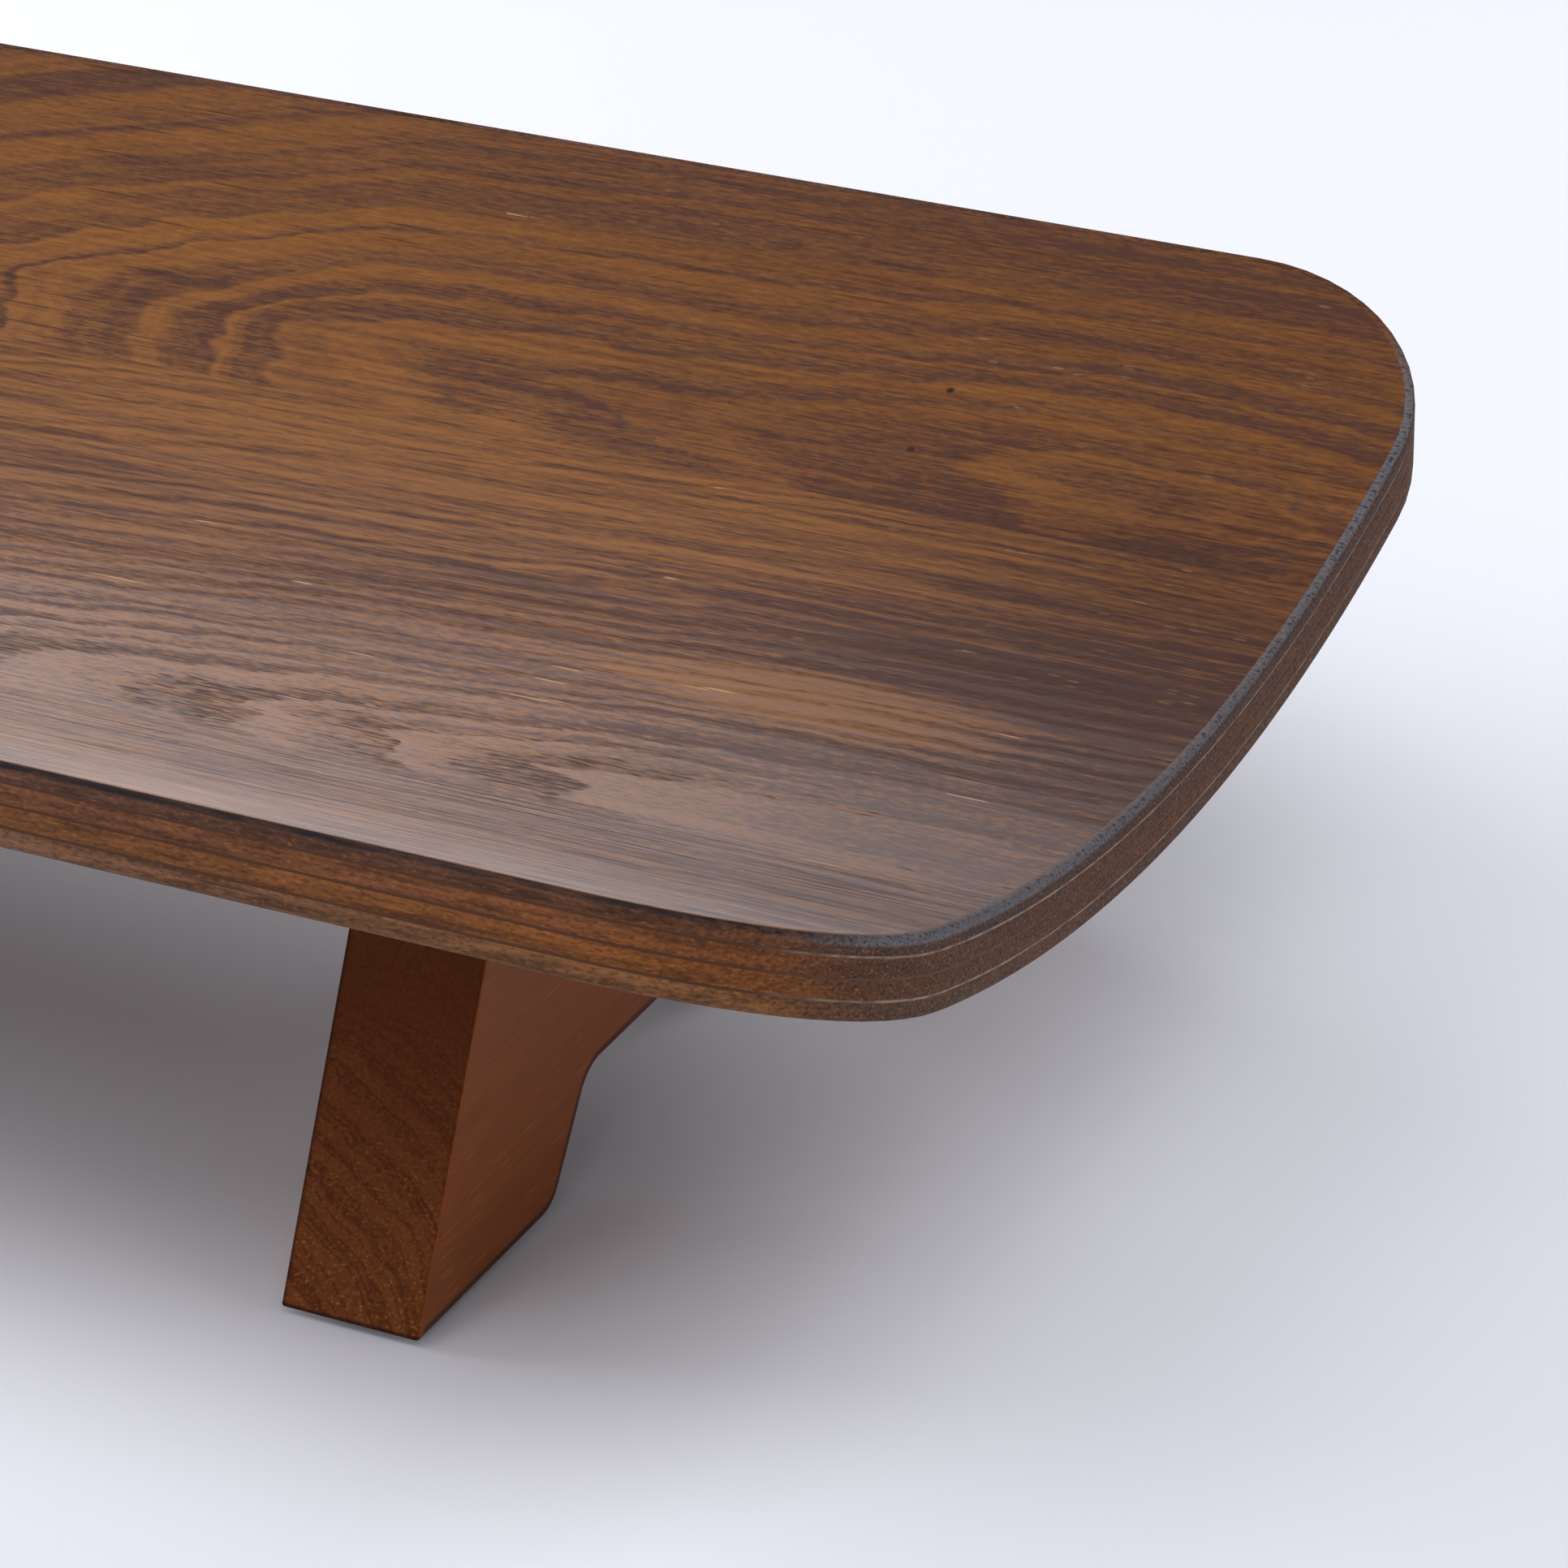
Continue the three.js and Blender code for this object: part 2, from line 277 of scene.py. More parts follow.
def new_material(name):
    """A node material, the function that adds nodes to it, and its shader."""
    material = bpy.data.materials.new(name)
    material.use_nodes = True
    tree = material.node_tree
    return material, partial(add_node, tree), tree.nodes["Principled BSDF"]


def feed(shader, sockets):
    """Fills the shader's sockets by name."""
    for name, value in sockets.items():
        fill(shader.id_data, shader.inputs[name], value)


def shade(tint, share):
    """A colour made deeper or paler by a share."""
    return (*(min(1, share * channel) for channel in tint[:3]), 1.0)


def mottle(add, place, lengths, detail):
    """Soft marks of about these lengths along each axis, in millimetres."""
    return add(NOISE, add(VECTOR_TIMES, place, [1 / length for length in lengths]), 1.0, detail)


def streaks(add, place, length, width, detail):
    """Marks drawn out along the grain, about this long and wide in millimetres."""
    return mottle(add, place, (length, width, width), detail)


def dashes(add, place, length, width, reach):
    """Strokes along the grain, 1 on a stroke and 0 beyond its reach, with two random numbers for each."""
    cells = add(FLAT_CELLS, add(VECTOR_TIMES, place, (1 / length, 1 / width, 0.0)), 1.0).node
    luck = add(SPLIT, cells.outputs["Color"]).node
    stroke = add(RANGE, cells.outputs["Distance"], 0.6 * reach, reach, 1.0, 0.0)
    return stroke, luck.outputs["X"], luck.outputs["Y"]


# Leaves of veneer lie side by side across the board; lengths and places on it are in millimetres
LEAF_WIDTH = 98.0
LEAF_SEAM = -54.8  # place across the board of the seam in front of the middle leaf
LEAF_STEP = 437.0  # keeps the noise of one leaf apart from the next
YEAR_STEP = 17.0  # keeps the rings of one leaf apart from the next
AXIS_HEIGHT = 13.5  # of the ring pattern's axis above a leaf's lower seam
AXIS_SWAY = 2.5  # how far the axis wanders
LOWER_SQUEEZE = -0.35  # the arches turn down steeply below their axis
RING_SPACING = 4.65
RING_START = 16.7  # ring radius at the innermost arch
HEART_REACH = 3.0  # how far inside the innermost arch the bands fade out
OUTER_RADIUS = 34.0  # beyond this radius the rings lie closer in the middle leaf, wider in the rear one
MIDDLE_GAIN = 0.1
REAR_GAIN = -0.09
POINTEDNESS = 1.45  # 2 gives round arches, 1 gives pointed ones
SEASON_SCALE = 0.17  # how quickly wide and narrow rings take turns, per millimetre
CROWN = (28, 52)  # heights between which an arch turns into its straight limb
SLIP_SCALE = 0.44  # each leaf was cut further along the log than its neighbour
SLIP_SHIFT = 29.7
AXIS_REACH = 200.0
DEPTH_REACH = 100.0
# How deep the heart of the log lay under the cut, along the tray
HEART_DEPTH = (
    (-200, 95), (-60, 55), (6.7, 31), (22.5, 25.9), (37.8, 20.9), (47, 17), (60, 14.9),
    (80, 13.4), (105, 12.05), (143, 7.4), (165, 4.6), (200, 8),
)
LINE_LENGTH = 90.0  # of the fine lines beside the rings
PIN_KNOTS = ((138.7, 68.9), (138.7, 55.9), (132.0, -65.6), (134.7, -72.3))
PIN_KNOT_RADII = (0.35, 0.75)  # dark to the first, clear beyond the second
GOLDEN_PATCH = (156.0, -6.0)
GOLDEN_REACH = (38.0, 12.0)
END_TINT = (0.7, 0.69, 0.72, 1.0)  # a tint multiplies the wood's colour, channel by channel
# Zones across the board where the stain took darker, or paler, as (starts at, full at, amount)
STAIN_ZONES = ((75, 100, 0.25), (-50, -58, 0.3), (-70, -82, -0.25))


class LeafPlace:
    """Where a point of the face lies on its leaf of veneer, with the noises that its patterns share."""

    def __init__(self, add):
        split = add(SPLIT, add(GRAIN).node.outputs["Vector"]).node
        self.along, self.across = split.outputs["X"], split.outputs["Y"]
        above_seam = add(MINUS, self.across, LEAF_SEAM)
        self.leaf = add(WHOLE, add(OVER, above_seam, LEAF_WIDTH))
        self.height = add(WRAPPED, above_seam, LEAF_WIDTH)
        self.place = add(JOIN, add(TIMES_PLUS, self.leaf, LEAF_STEP, self.along), self.height, 0.0)
        self.fibre = streaks(add, self.place, 5, 0.35, 2.0)
        self.thread = streaks(add, self.place, 24, 0.8, 3.0)
        self.streak = streaks(add, self.place, 70, 1.6, 3.0)
        self.cloud = streaks(add, self.place, 45, 12, 1.0)


def growth_rings(add, at):
    """Distance from the heart of the log in millimetres, and the growth rings counted outward."""
    slip = add(TIMES_PLUS, at.leaf, SLIP_SCALE, 1 - SLIP_SCALE)
    shift = add(TIMES_PLUS, at.leaf, SLIP_SHIFT, -SLIP_SHIFT)
    log_along = add(TIMES_PLUS, at.along, slip, shift)
    heart = add(CURVE, 1.0, add(RANGE, log_along, -AXIS_REACH, AXIS_REACH, 0.0, 1.0))
    points = heart.node.mapping.curves[0].points
    wanted = [((x + AXIS_REACH) / (2 * AXIS_REACH), depth / DEPTH_REACH) for x, depth in HEART_DEPTH]
    points[0].location, points[1].location = wanted[0], wanted[-1]
    for spot in wanted[1:-1]:
        points.new(*spot)
    heart.node.mapping.update()
    heart_depth = add(TIMES, heart, DEPTH_REACH)

    wave = streaks(add, at.place, 38, 14, 2.0)
    off_axis = add(MINUS, at.height, AXIS_HEIGHT)
    off_axis = add(PLUS, off_axis, add(RANGE, wave, 0.0, 1.0, -AXIS_SWAY, AXIS_SWAY))
    off_axis = add(LARGER, off_axis, add(TIMES, off_axis, LOWER_SQUEEZE))
    bent = add(TO_POWER, off_axis, POINTEDNESS)
    sunk = add(TO_POWER, heart_depth, POINTEDNESS)
    radius = add(TO_POWER, add(PLUS, bent, sunk), 1 / POINTEDNESS)
    ripple = add(RANGE, streaks(add, at.place, 11, 6, 2.0), *MAIN_SPAN, -1.0, 1.0)
    radius = add(PLUS, radius, add(TIMES, ripple, add(RANGE, at.height, 25, 55, 0.7, 0.25)))

    ring = add(OVER, add(MINUS, radius, RING_START), RING_SPACING)
    outer = add(LARGER, add(MINUS, radius, OUTER_RADIUS), 0.0)
    ring = add(TIMES_PLUS, outer, add(BLEND, at.leaf, MIDDLE_GAIN, REAR_GAIN), ring)
    season = add(LINE_NOISE, add(PLUS, radius, at.leaf), SEASON_SCALE, 2.0)
    return radius, add(PLUS, add(RANGE, season, *WIDE_SPAN, -0.4, 0.4), ring)


def pore_bands(add, at, radius, ring):
    """Each ring's dark band, how far in across its ring a point lies, and the band's crisp inner edge."""
    # Each ring is light just inside its edge, then fills with pores up to the next edge
    jag = add(TIMES, add(RANGE, at.fibre, *WIDE_SPAN, -1.0, 1.0), add(RANGE, at.across, 60, 20, 0.03, 0.1))
    inward = add(MINUS, jag, ring)
    share = add(FRACTION, inward)
    year = add(TIMES_PLUS, at.leaf, YEAR_STEP, add(WHOLE, inward))
    luck = add(SPLIT, add(DICE, year).node.outputs["Color"]).node
    start = add(RANGE, luck.outputs["X"], 0.0, 1.0, -0.1, 0.25)
    full = add(RANGE, at.height, *CROWN, 0.9, 0.6)
    feather = add(SMOOTH_RANGE, share, start, full, 0.0, 1.0)
    crisp_from = add(MINUS, add(RANGE, at.height, *CROWN, 0.9, 0.7), add(RANGE, at.leaf, 0.0, 1.0, 0.0, 0.12))
    crisp = add(SMOOTH_RANGE, share, crisp_from, 1.0, 1.0, 0.0)

    # Some years are faint, and so are the front leaf, the heart and the ends of the limbs
    strength = add(RANGE, luck.outputs["Y"], 0.0, 1.0, 0.6, 1.0)
    strength = add(TIMES, strength, add(RANGE, at.cloud, *MAIN_SPAN, 0.7, 1.1))
    strength = add(TIMES, strength, add(RANGE, at.across, -62, -52, 0.4, 1.0))
    heart = add(RANGE, radius, RING_START - HEART_REACH, RING_START, 0.2, 1.0)
    limb_end = add(TIMES, add(RANGE, at.along, 138, 162, 0.0, 0.65), add(RANGE, at.height, 36, 30, 0.0, 1.0))
    faint = add(SMALLER, heart, add(MINUS, 1.0, limb_end))
    strength = add(TIMES, strength, add(BLEND, at.leaf, faint, 1.0))
    return add(TIMES, feather, add(TIMES, crisp, strength)), share, crisp


def open_pores(add, at, band, ticks):
    """Pores crowd into the bands as ticks; toward the front they run together into furrows and long lines."""
    tick, luck, depth = ticks
    crowd = add(RANGE, band, 0.15, 0.65, 0.0, 1.0)
    pore = add(TIMES, tick, add(BELOW, luck, crowd))
    pore = add(TIMES, pore, add(RANGE, depth, 0.0, 1.0, 0.5, 1.0))
    pore = add(TIMES, pore, add(RANGE, at.across, 70, -20, 0.4, 1.0))
    pore = add(TIMES, pore, add(RANGE, at.height, 28, 42, 1.0, 0.45))
    level = add(RANGE, band, 0.08, 0.6, 0.8, 0.46)
    furrow = add(RANGE, add(MINUS, streaks(add, at.place, 4, 0.6, 0.0), level), 0.0, 0.16, 0.0, 0.75)
    furrow = add(TIMES, furrow, add(RANGE, at.height, 18, 30, 1.0, 0.35))
    long_line = add(RANGE, streaks(add, at.place, 22, 0.6, 2.0), 0.56, 0.66, 0.0, 0.6)
    furrow = add(BLEND, add(RANGE, at.across, -52, -58, 0.0, 1.0), furrow, long_line)
    return add(BLEND, add(RANGE, at.across, -8, -24, 0.0, 1.0), pore, furrow)


def dusty_flecks_and_painted_glints(add, at, bands, ticks, slits):
    """Long pores along a band's crisp edge that caught pale lacquer dust, and painted glints: a few bright
    ticks in the bands where light catches a pore's rim.
    """
    band, share, crisp = bands
    tick, tick_luck, _ = ticks
    slit, slit_luck, _ = slits
    row = add(TIMES, add(RANGE, share, 0.72, 0.86, 0.0, 1.0), crisp)
    limb = add(RANGE, at.height, AXIS_HEIGHT + 4, AXIS_HEIGHT + 16, 0.0, 1.0)
    dust = add(RANGE, streaks(add, at.place, 55, 4, 1.0), 0.45, 0.65, 0.0, 1.0)
    dust = add(TIMES, dust, add(RANGE, at.along, 30, 130, 0.08, 0.4))
    dusty = add(TIMES, row, add(TIMES, limb, dust))
    fleck = add(TIMES, slit, add(BELOW, slit_luck, dusty))
    # Painted glints: bright ticks where light catches a pore's rim
    painted_glint = add(TIMES, tick, add(ABOVE, tick_luck, 0.9))
    painted_glint_spread = add(BLEND, add(RANGE, at.across, -20, -35, 0.0, 1.0), dust, 0.8)
    return add(LARGER, fleck, add(TIMES, painted_glint, add(TIMES, band, painted_glint_spread)))


def stain_tone(add, at, band, radius):
    """How far the stain took, from late wood at 0 to early wood at 1, and how far the right end darkened."""
    lines = add(NOISE, add(JOIN, add(TIMES, at.along, 1 / LINE_LENGTH), radius, at.leaf), 1.0, 2.0)
    fine, broad = add(RANGE, lines, *TIGHT_SPAN, -0.2, 0.2), add(RANGE, at.streak, *TIGHT_SPAN, -0.25, 0.25)
    tone = add(PLUS, fine, broad)
    stripe = add(RANGE, at.thread, *TIGHT_SPAN, -1.0, 1.0)
    tone = add(PLUS, tone, add(TIMES, stripe, add(RANGE, at.across, -45, -58, 0.15, 0.8)))
    tone = add(TIMES, tone, add(RANGE, at.across, 75, 30, 0.35, 1.0))

    # The bands, the fibre and a fine grit toward the front
    middle_weight = add(RANGE, at.height, 26, 36, 0.75, 0.34)
    rear_weight = add(RANGE, at.along, 20, 100, 0.85, 0.5)
    weight = add(BLEND, at.leaf, middle_weight, rear_weight)
    tone = add(TIMES_PLUS, band, add(TIMES, weight, add(RANGE, at.across, 70, 100, 1.0, 0.65)), tone)
    swing = add(RANGE, at.fibre, *TIGHT_SPAN, -1.0, 1.0)
    tone = add(PLUS, tone, add(TIMES, swing, add(RANGE, at.across, 60, 0, 0.15, 0.28)))
    grit = add(RANGE, streaks(add, at.place, 1.6, 0.7, 1.0), 0.36, 0.64, -1.15, 0.85)
    tone = add(TIMES_PLUS, grit, add(RANGE, at.across, 10, -30, 0.1, 0.4), tone)

    # The rear leaf, the zones along the edges, the middle and the right end
    tone = add(PLUS, tone, add(BLEND, at.leaf, 0.2, add(RANGE, at.along, 30, 120, 0.26, 0.48)))
    for start, full, amount in STAIN_ZONES:
        tone = add(PLUS, tone, add(RANGE, at.across, start, full, 0.0, amount))
    middle = add(TIMES, add(RANGE, at.across, 35, 10, 0.0, 0.25), add(RANGE, at.across, -35, -15, 0.0, 1.0))
    tone = add(TIMES_PLUS, middle, add(RANGE, at.along, 60, 100, 1.0, 1.7), tone)
    end = add(RANGE, add(TIMES_PLUS, at.cloud, 30.0, at.along), 138, 198, 0.0, 1.0)
    end = add(TIMES, end, add(RANGE, at.across, 60, 35, 0.1, 1.0))
    return add(TIMES_PLUS, end, 0.4, tone), end


def ash_veneer_sliced_and_stained(board):
    """Sliced ash veneer, stained walnut and lacquered satin: arches of open pores, fine fibre, soft sheen."""
    material, add, shader = new_material("ash_veneer_sliced_and_stained")
    at = LeafPlace(add)
    radius, ring = growth_rings(add, at)
    bands = pore_bands(add, at, radius, ring)
    band = bands[0]
    # Real pores are finer; these are drawn coarser so that they show
    ticks = dashes(add, at.place, 3.0, 0.75, 0.36)
    slits = dashes(add, at.place, 20, 0.8, 0.3)
    pore = open_pores(add, at, band, ticks)
    fleck = dusty_flecks_and_painted_glints(add, at, bands, ticks, slits)
    tone, end = stain_tone(add, at, band, radius)

    # One golden patch is painted: a lighter glow where the grain's chatoyant sheen catches the light
    flat = add(JOIN, at.along, at.across, 0.0)
    away = add(VECTOR_MINUS, flat, (*GOLDEN_PATCH, 0.0))
    away = add(LENGTH, add(VECTOR_TIMES, away, (*(1 / reach for reach in GOLDEN_REACH), 1.0)))
    tone = add(PLUS, tone, add(SMOOTH_RANGE, away, 0.3, 1.0, -0.95, 0.0))
    wood = add(PAINT, tone, board.late_wood, board.early_wood)
    wood = add(TINT, end, wood, END_TINT)

    # Dark pores and long open slits, pale flecks with painted glints, pin knots
    slit, _, slit_luck = slits
    slot = add(TIMES, slit, add(BELOW, slit_luck, 0.06))
    dark = add(LARGER, add(TIMES, slot, 0.6), pore)
    wood = add(PAINT, add(TIMES, dark, 0.85), wood, board.pore)
    wood = add(PAINT, add(TIMES, fleck, 0.7), wood, board.fleck)
    knots = 0.0
    for spot in PIN_KNOTS:
        knot = add(RANGE, add(DISTANCE, flat, (*spot, 0.0)), *PIN_KNOT_RADII, 0.9, 0.0)
        knots = add(LARGER, knot, knots)
    wood = add(PAINT, knots, wood, board.pore)

    # Lacquer lies smooth over the light wood and sinks into the pores
    sunken = add(LARGER, pore, add(TIMES, band, 0.5))
    relief = add(TIMES_PLUS, at.fibre, 0.3, add(TIMES, pore, -1.0))
    feed(shader, {
        "Base Color": wood,
        "Roughness": add(RANGE, sunken, 0.0, 1.0, 0.36, 0.68),
        "Normal": add(BUMP, Strength=0.8, Distance=0.1 * MM, Height=relief),
    })
    return material


# Layers seen at the cut edge, in millimetres
SCORCH_DEPTH = 1.0  # how far down from the top face the sanded arris is scorched
CORNER_TINT = (1.12, 1.0, 0.66, 1.0)  # the stain pooled warm toward the corners
CORNER_FROM = (110, 175)  # distance from the middle where the warm stain starts, and where it is in full
GLUE_BARE_FROM = (188, 198)  # the same for bare glue
END_GRAIN_FROM = (189, 199)  # the same for the end grain
SKIN_EDGE = (-0.2, 0.2)  # how softly the lacquer's skin ends below the top face


def veneer_cut_edge(name, tint, board):
    """A ply where it was sawn and sanded: speckled with cut pores, streaked by the stain, with no gloss; the
    sheen on its end grain and the bright line along its top arris are painted.
    """
    material, add, shader = new_material(name)
    grain = add(GRAIN).node.outputs["Vector"]
    depth = add(SPLIT, grain).node.outputs["Z"]
    place = add(COORDINATES).node.outputs["Object"]
    split = add(SPLIT, add(VECTOR_TIMES, place, (1 / MM, 1 / MM, 1 / MM))).node
    reach, across = add(UNSIGNED, split.outputs["X"]), split.outputs["Y"]
    streak = mottle(add, grain, (7, 0.7, 0.45), 4.0)
    cloud = mottle(add, grain, (26, 14, 1.6), 2.0)
    speck = mottle(add, grain, (0.9, 0.4, 0.3), 2.0)
    tone = add(PLUS, add(RANGE, streak, *MAIN_SPAN, -0.4, 0.4), add(RANGE, cloud, *MAIN_SPAN, 0.1, 0.9))
    deep = shade(tint, 0.5)
    wood = add(PAINT, tone, deep, shade(tint, 1.45))
    wood = add(TINT, add(RANGE, reach, *CORNER_FROM, 0.0, 1.0), wood, CORNER_TINT)

    # A painted grey-blue sheen, the light mirrored in the lacquer, covers the end grain in a skin below the
    # top face, and stain soaked in beneath it
    end = add(SMOOTH_RANGE, reach, *END_GRAIN_FROM, 0.0, 1.0)
    below_skin = add(MINUS, depth, add(RANGE, across, 40, -80, 0.4, 1.1))
    soaked = add(TIMES, end, add(RANGE, below_skin, *SKIN_EDGE, 0.0, 0.75))
    wood = add(PAINT, soaked, wood, deep)
    haze = add(TIMES, end, add(RANGE, below_skin, *SKIN_EDGE, 0.8, 0.08))
    wood = add(PAINT, haze, wood, board.painted_end_sheen)

    # Cut pores show as dark and bright specks, most of all on the end grain
    specks = add(RANGE, end, 0.0, 1.0, 0.6, 1.0)
    pore = add(TIMES, specks, add(RANGE, speck, 0.36, 0.46, 0.75, 0.0))
    wood = add(PAINT, pore, wood, board.pore)
    glint = add(TIMES, specks, add(RANGE, speck, 0.58, 0.72, 0.0, 0.5))
    wood = add(PAINT, glint, wood, board.edge_fleck)

    # The arris is scorched along the front, with a thin painted highlight along its very top where the
    # rounding catches the light
    scorch = add(SMOOTH_RANGE, depth, 0.55 * SCORCH_DEPTH, SCORCH_DEPTH, 1.0, 0.0)
    scorch = add(TIMES, scorch, add(RANGE, streak, 0.35, 0.6, 1.0, 0.6))
    scorch = add(TIMES, scorch, add(RANGE, end, 0.0, 1.0, 1.0, 0.15))
    scorch = add(TIMES, scorch, add(RANGE, across, 0, 60, 1.0, 0.0))
    wood = add(PAINT, scorch, wood, board.scorch)
    rim = add(TIMES, scorch, add(RANGE, depth, 0.02, 0.08, 0.8, 0.0))
    wood = add(PAINT, rim, wood, board.edge_fleck)
    feed(shader, {
        "Base Color": wood,
        "Roughness": 0.75,
        "Specular IOR Level": 0.2,
        "Normal": add(BUMP, Strength=0.6, Distance=0.1 * MM, Height=speck),
    })
    return material


def glue_cured(name, bareness, board):
    """Cured wood glue, sanded flush and stained over: dark along the sides, paler at the ends."""
    material, add, shader = new_material(name)
    grain = add(GRAIN).node.outputs["Vector"]
    reach = add(UNSIGNED, add(SPLIT, grain).node.outputs["X"])
    bare = add(RANGE, reach, *GLUE_BARE_FROM, 0.0, bareness)
    patch = mottle(add, grain, (2, 2, 1), 3.0)
    bare = add(TIMES, bare, add(RANGE, patch, 0.35, 0.65, 0.35, 1.0))
    feed(shader, {
        "Base Color": add(PAINT, bare, board.stained_glue, board.glue),
        "Roughness": 0.7,
        "Specular IOR Level": 0.2,
    })
    return material


# Growth rings of the leg's plank, in millimetres
LEG_RING_SPACING = 3.4
PITH_X = -16.0  # from the leg's middle
PITH_Z = -6.0
PITH_SWAY = 2.5  # how far the rings wander
GRAIN_RISE = math.tan(math.radians(3))
# The darkened sole is grime and stain, and painted contact shadow where it meets the pads
LEG_SOLE = (1.6, 2.0)  # heights between which the darkened sole ends
LEG_BAND_TINT = (0.55, 0.46, 0.42, 1.0)
# Darkens the arrises and the margin along the soles and the arch: partly stain and grime, partly painted shade
# on edges turned from the light
LEG_ARRIS_TINT = (0.25, 0.22, 0.24, 1.0)
# Painted light: a warmer tone on the arris turned toward the light
LEG_LIT_ARRIS_TINT = (1.0, 0.85, 0.5, 1.0)
ARRIS_EDGE = (-0.3, 0.15)  # where the arris tint starts and is in full, from the start of the rounding


def ash_plank_planed_and_stained(name, legs, middle_x, half_x):
    """A solid ash plank, planed and stained walnut: dark speckled end grain, smooth sides with fine lines, and
    painted shade high on the end face and along edges turned from the light.
    """
    material, add, shader = new_material(name)
    coordinates = add(COORDINATES).node
    place = add(VECTOR_TIMES, coordinates.outputs["Object"], (1 / MM, 1 / MM, 1 / MM))
    split = add(SPLIT, place).node
    off_x = add(MINUS, split.outputs["X"], middle_x / MM)
    along, height = split.outputs["Y"], split.outputs["Z"]
    normal = add(SPLIT, coordinates.outputs["Normal"]).node
    end = add(RANGE, add(UNSIGNED, normal.outputs["Y"]), 0.45, 0.75, 0.0, 1.0)
    wave = mottle(add, place, (9, 40, 9), 2.0)
    fibre = mottle(add, place, (0.6, 12, 0.6), 3.0)
    speck = mottle(add, place, (0.45, 6, 0.32), 2.0)

    # Rings round the pith, which runs along the plank
    lift = add(TIMES_PLUS, along, GRAIN_RISE, PITH_Z)
    radius = add(LENGTH, add(JOIN, add(MINUS, off_x, PITH_X), add(MINUS, height, lift), 0.0))
    radius = add(PLUS, radius, add(RANGE, wave, 0.0, 1.0, -PITH_SWAY, PITH_SWAY))
    season = add(RANGE, add(LINE_NOISE, radius, 0.3, 2.0), *WIDE_SPAN, -0.6, 0.6)
    ring = add(TIMES_PLUS, radius, 1 / LEG_RING_SPACING, season)
    share = add(FRACTION, add(PLUS, ring, add(RANGE, fibre, *WIDE_SPAN, -0.1, 0.1)))
    rise = add(SMOOTH_RANGE, share, 0.7, 0.93, 0.0, 1.0)
    fall = add(SMOOTH_RANGE, share, 0.92, 1.0, 1.0, 0.0)
    depth = add(RANGE, end, 0.0, 1.0, 0.12, 0.8)
    tone = add(TIMES_PLUS, add(TIMES, rise, fall), depth, add(RANGE, fibre, *MAIN_SPAN, -0.05, 0.25))
    tone = add(PLUS, tone, add(RANGE, wave, *MAIN_SPAN, -0.06, 0.14))
    # Painted shade: the end face darkens toward the top, where the board shades it; the sides are darker low
    # and lighter high, as the light falls on them
    painted_shade_high_end = add(RANGE, height, 10, 38, 0.0, 0.78)
    painted_shade_low_side = add(RANGE, height, 5, 45, 0.3, -0.2)
    tone = add(PLUS, tone, add(BLEND, end, painted_shade_low_side, painted_shade_high_end))
    wood = add(TINT, tone, add(PAINT, end, legs.side_wood, legs.end_wood), LEG_BAND_TINT)

    # Pits and bright flecks on the end grain, pale slits low on the sides
    pit = add(TIMES, add(RANGE, speck, 0.28, 0.5, 0.6, 0.0), add(RANGE, end, 0.0, 1.0, 0.3, 1.0))
    wood = add(TINT, pit, wood, LEG_BAND_TINT)
    glint = add(TIMES, add(RANGE, speck, 0.58, 0.76, 0.0, 0.55), add(RANGE, end, 0.0, 1.0, 0.1, 1.0))
    # The flecks fade toward the top of the end face, painted shade where the board shades it
    glint = add(TIMES, glint, add(RANGE, height, 6, 34, 1.0, 0.05))
    wood = add(PAINT, glint, wood, legs.fleck)
    slit, luck, _ = dashes(add, add(JOIN, along, height, 0.0), 7, 0.5, 0.3)
    dusty = add(BELOW, luck, add(RANGE, height, 4, 22, 0.25, 0.02))
    dusty = add(TIMES, dusty, add(RANGE, end, 0.0, 1.0, 0.4, 0.0))
    wood = add(PAINT, add(TIMES, slit, dusty), wood, legs.fleck)

    # Arrises are dark, partly from stain and partly painted shade on edges turned from the light; where the
    # outer end face meets the right side, turned toward the light, the arris is painted a warm lit tone
    # instead
    rim = half_x / MM - legs.arris / MM
    arris = add(RANGE, add(UNSIGNED, off_x), *(rim + step for step in ARRIS_EDGE), 0.0, 0.75)
    arris = add(TIMES, arris, add(RANGE, add(UNSIGNED, normal.outputs["X"]), 0.9, 0.98, 1.0, 0.0))
    outer_face = add(ABOVE, add(TIMES, normal.outputs["Y"], along), 0.0)
    worn = add(TIMES, outer_face, add(ABOVE, off_x, 0.0))
    wood = add(TINT, arris, wood, add(PAINT, worn, LEG_ARRIS_TINT, LEG_LIT_ARRIS_TINT))
    # The margin along the soles and the arch and the lowest band of the sole are darkened: partly grime and
    # stain, partly painted shade, a contact shadow under the soles and shade on the arch's arris
    grime = add(LARGER, add(GRIME_AND_SHADE).node.outputs["Fac"], add(RANGE, height, *LEG_SOLE, 1.0, 0.0))
    wood = add(TINT, add(RANGE, grime, 0.1, 0.6, 0.0, 0.9), wood, LEG_ARRIS_TINT)
    feed(shader, {
        "Base Color": wood,
        "Roughness": add(RANGE, end, 0.0, 1.0, 0.45, 0.75),
        "Specular IOR Level": 0.15,
        "Normal": add(BUMP, Strength=0.35, Distance=0.06 * MM, Height=speck),
    })
    return material


def steel_zinc_plated(screws):
    """Wood-screw steel with bright zinc plating: a grey metal with a faint mottled haze."""
    material, add, shader = new_material("steel_zinc_plated")
    haze = add(NOISE, add(COORDINATES).node.outputs["Object"], 1 / (0.6 * MM), 3.0)
    feed(shader, {
        "Base Color": add(PAINT, haze, screws.zinc, shade(screws.zinc, 0.7)),
        "Metallic": 1.0,
        "Roughness": add(RANGE, haze, *MAIN_SPAN, 0.25, 0.45),
    })
    return material


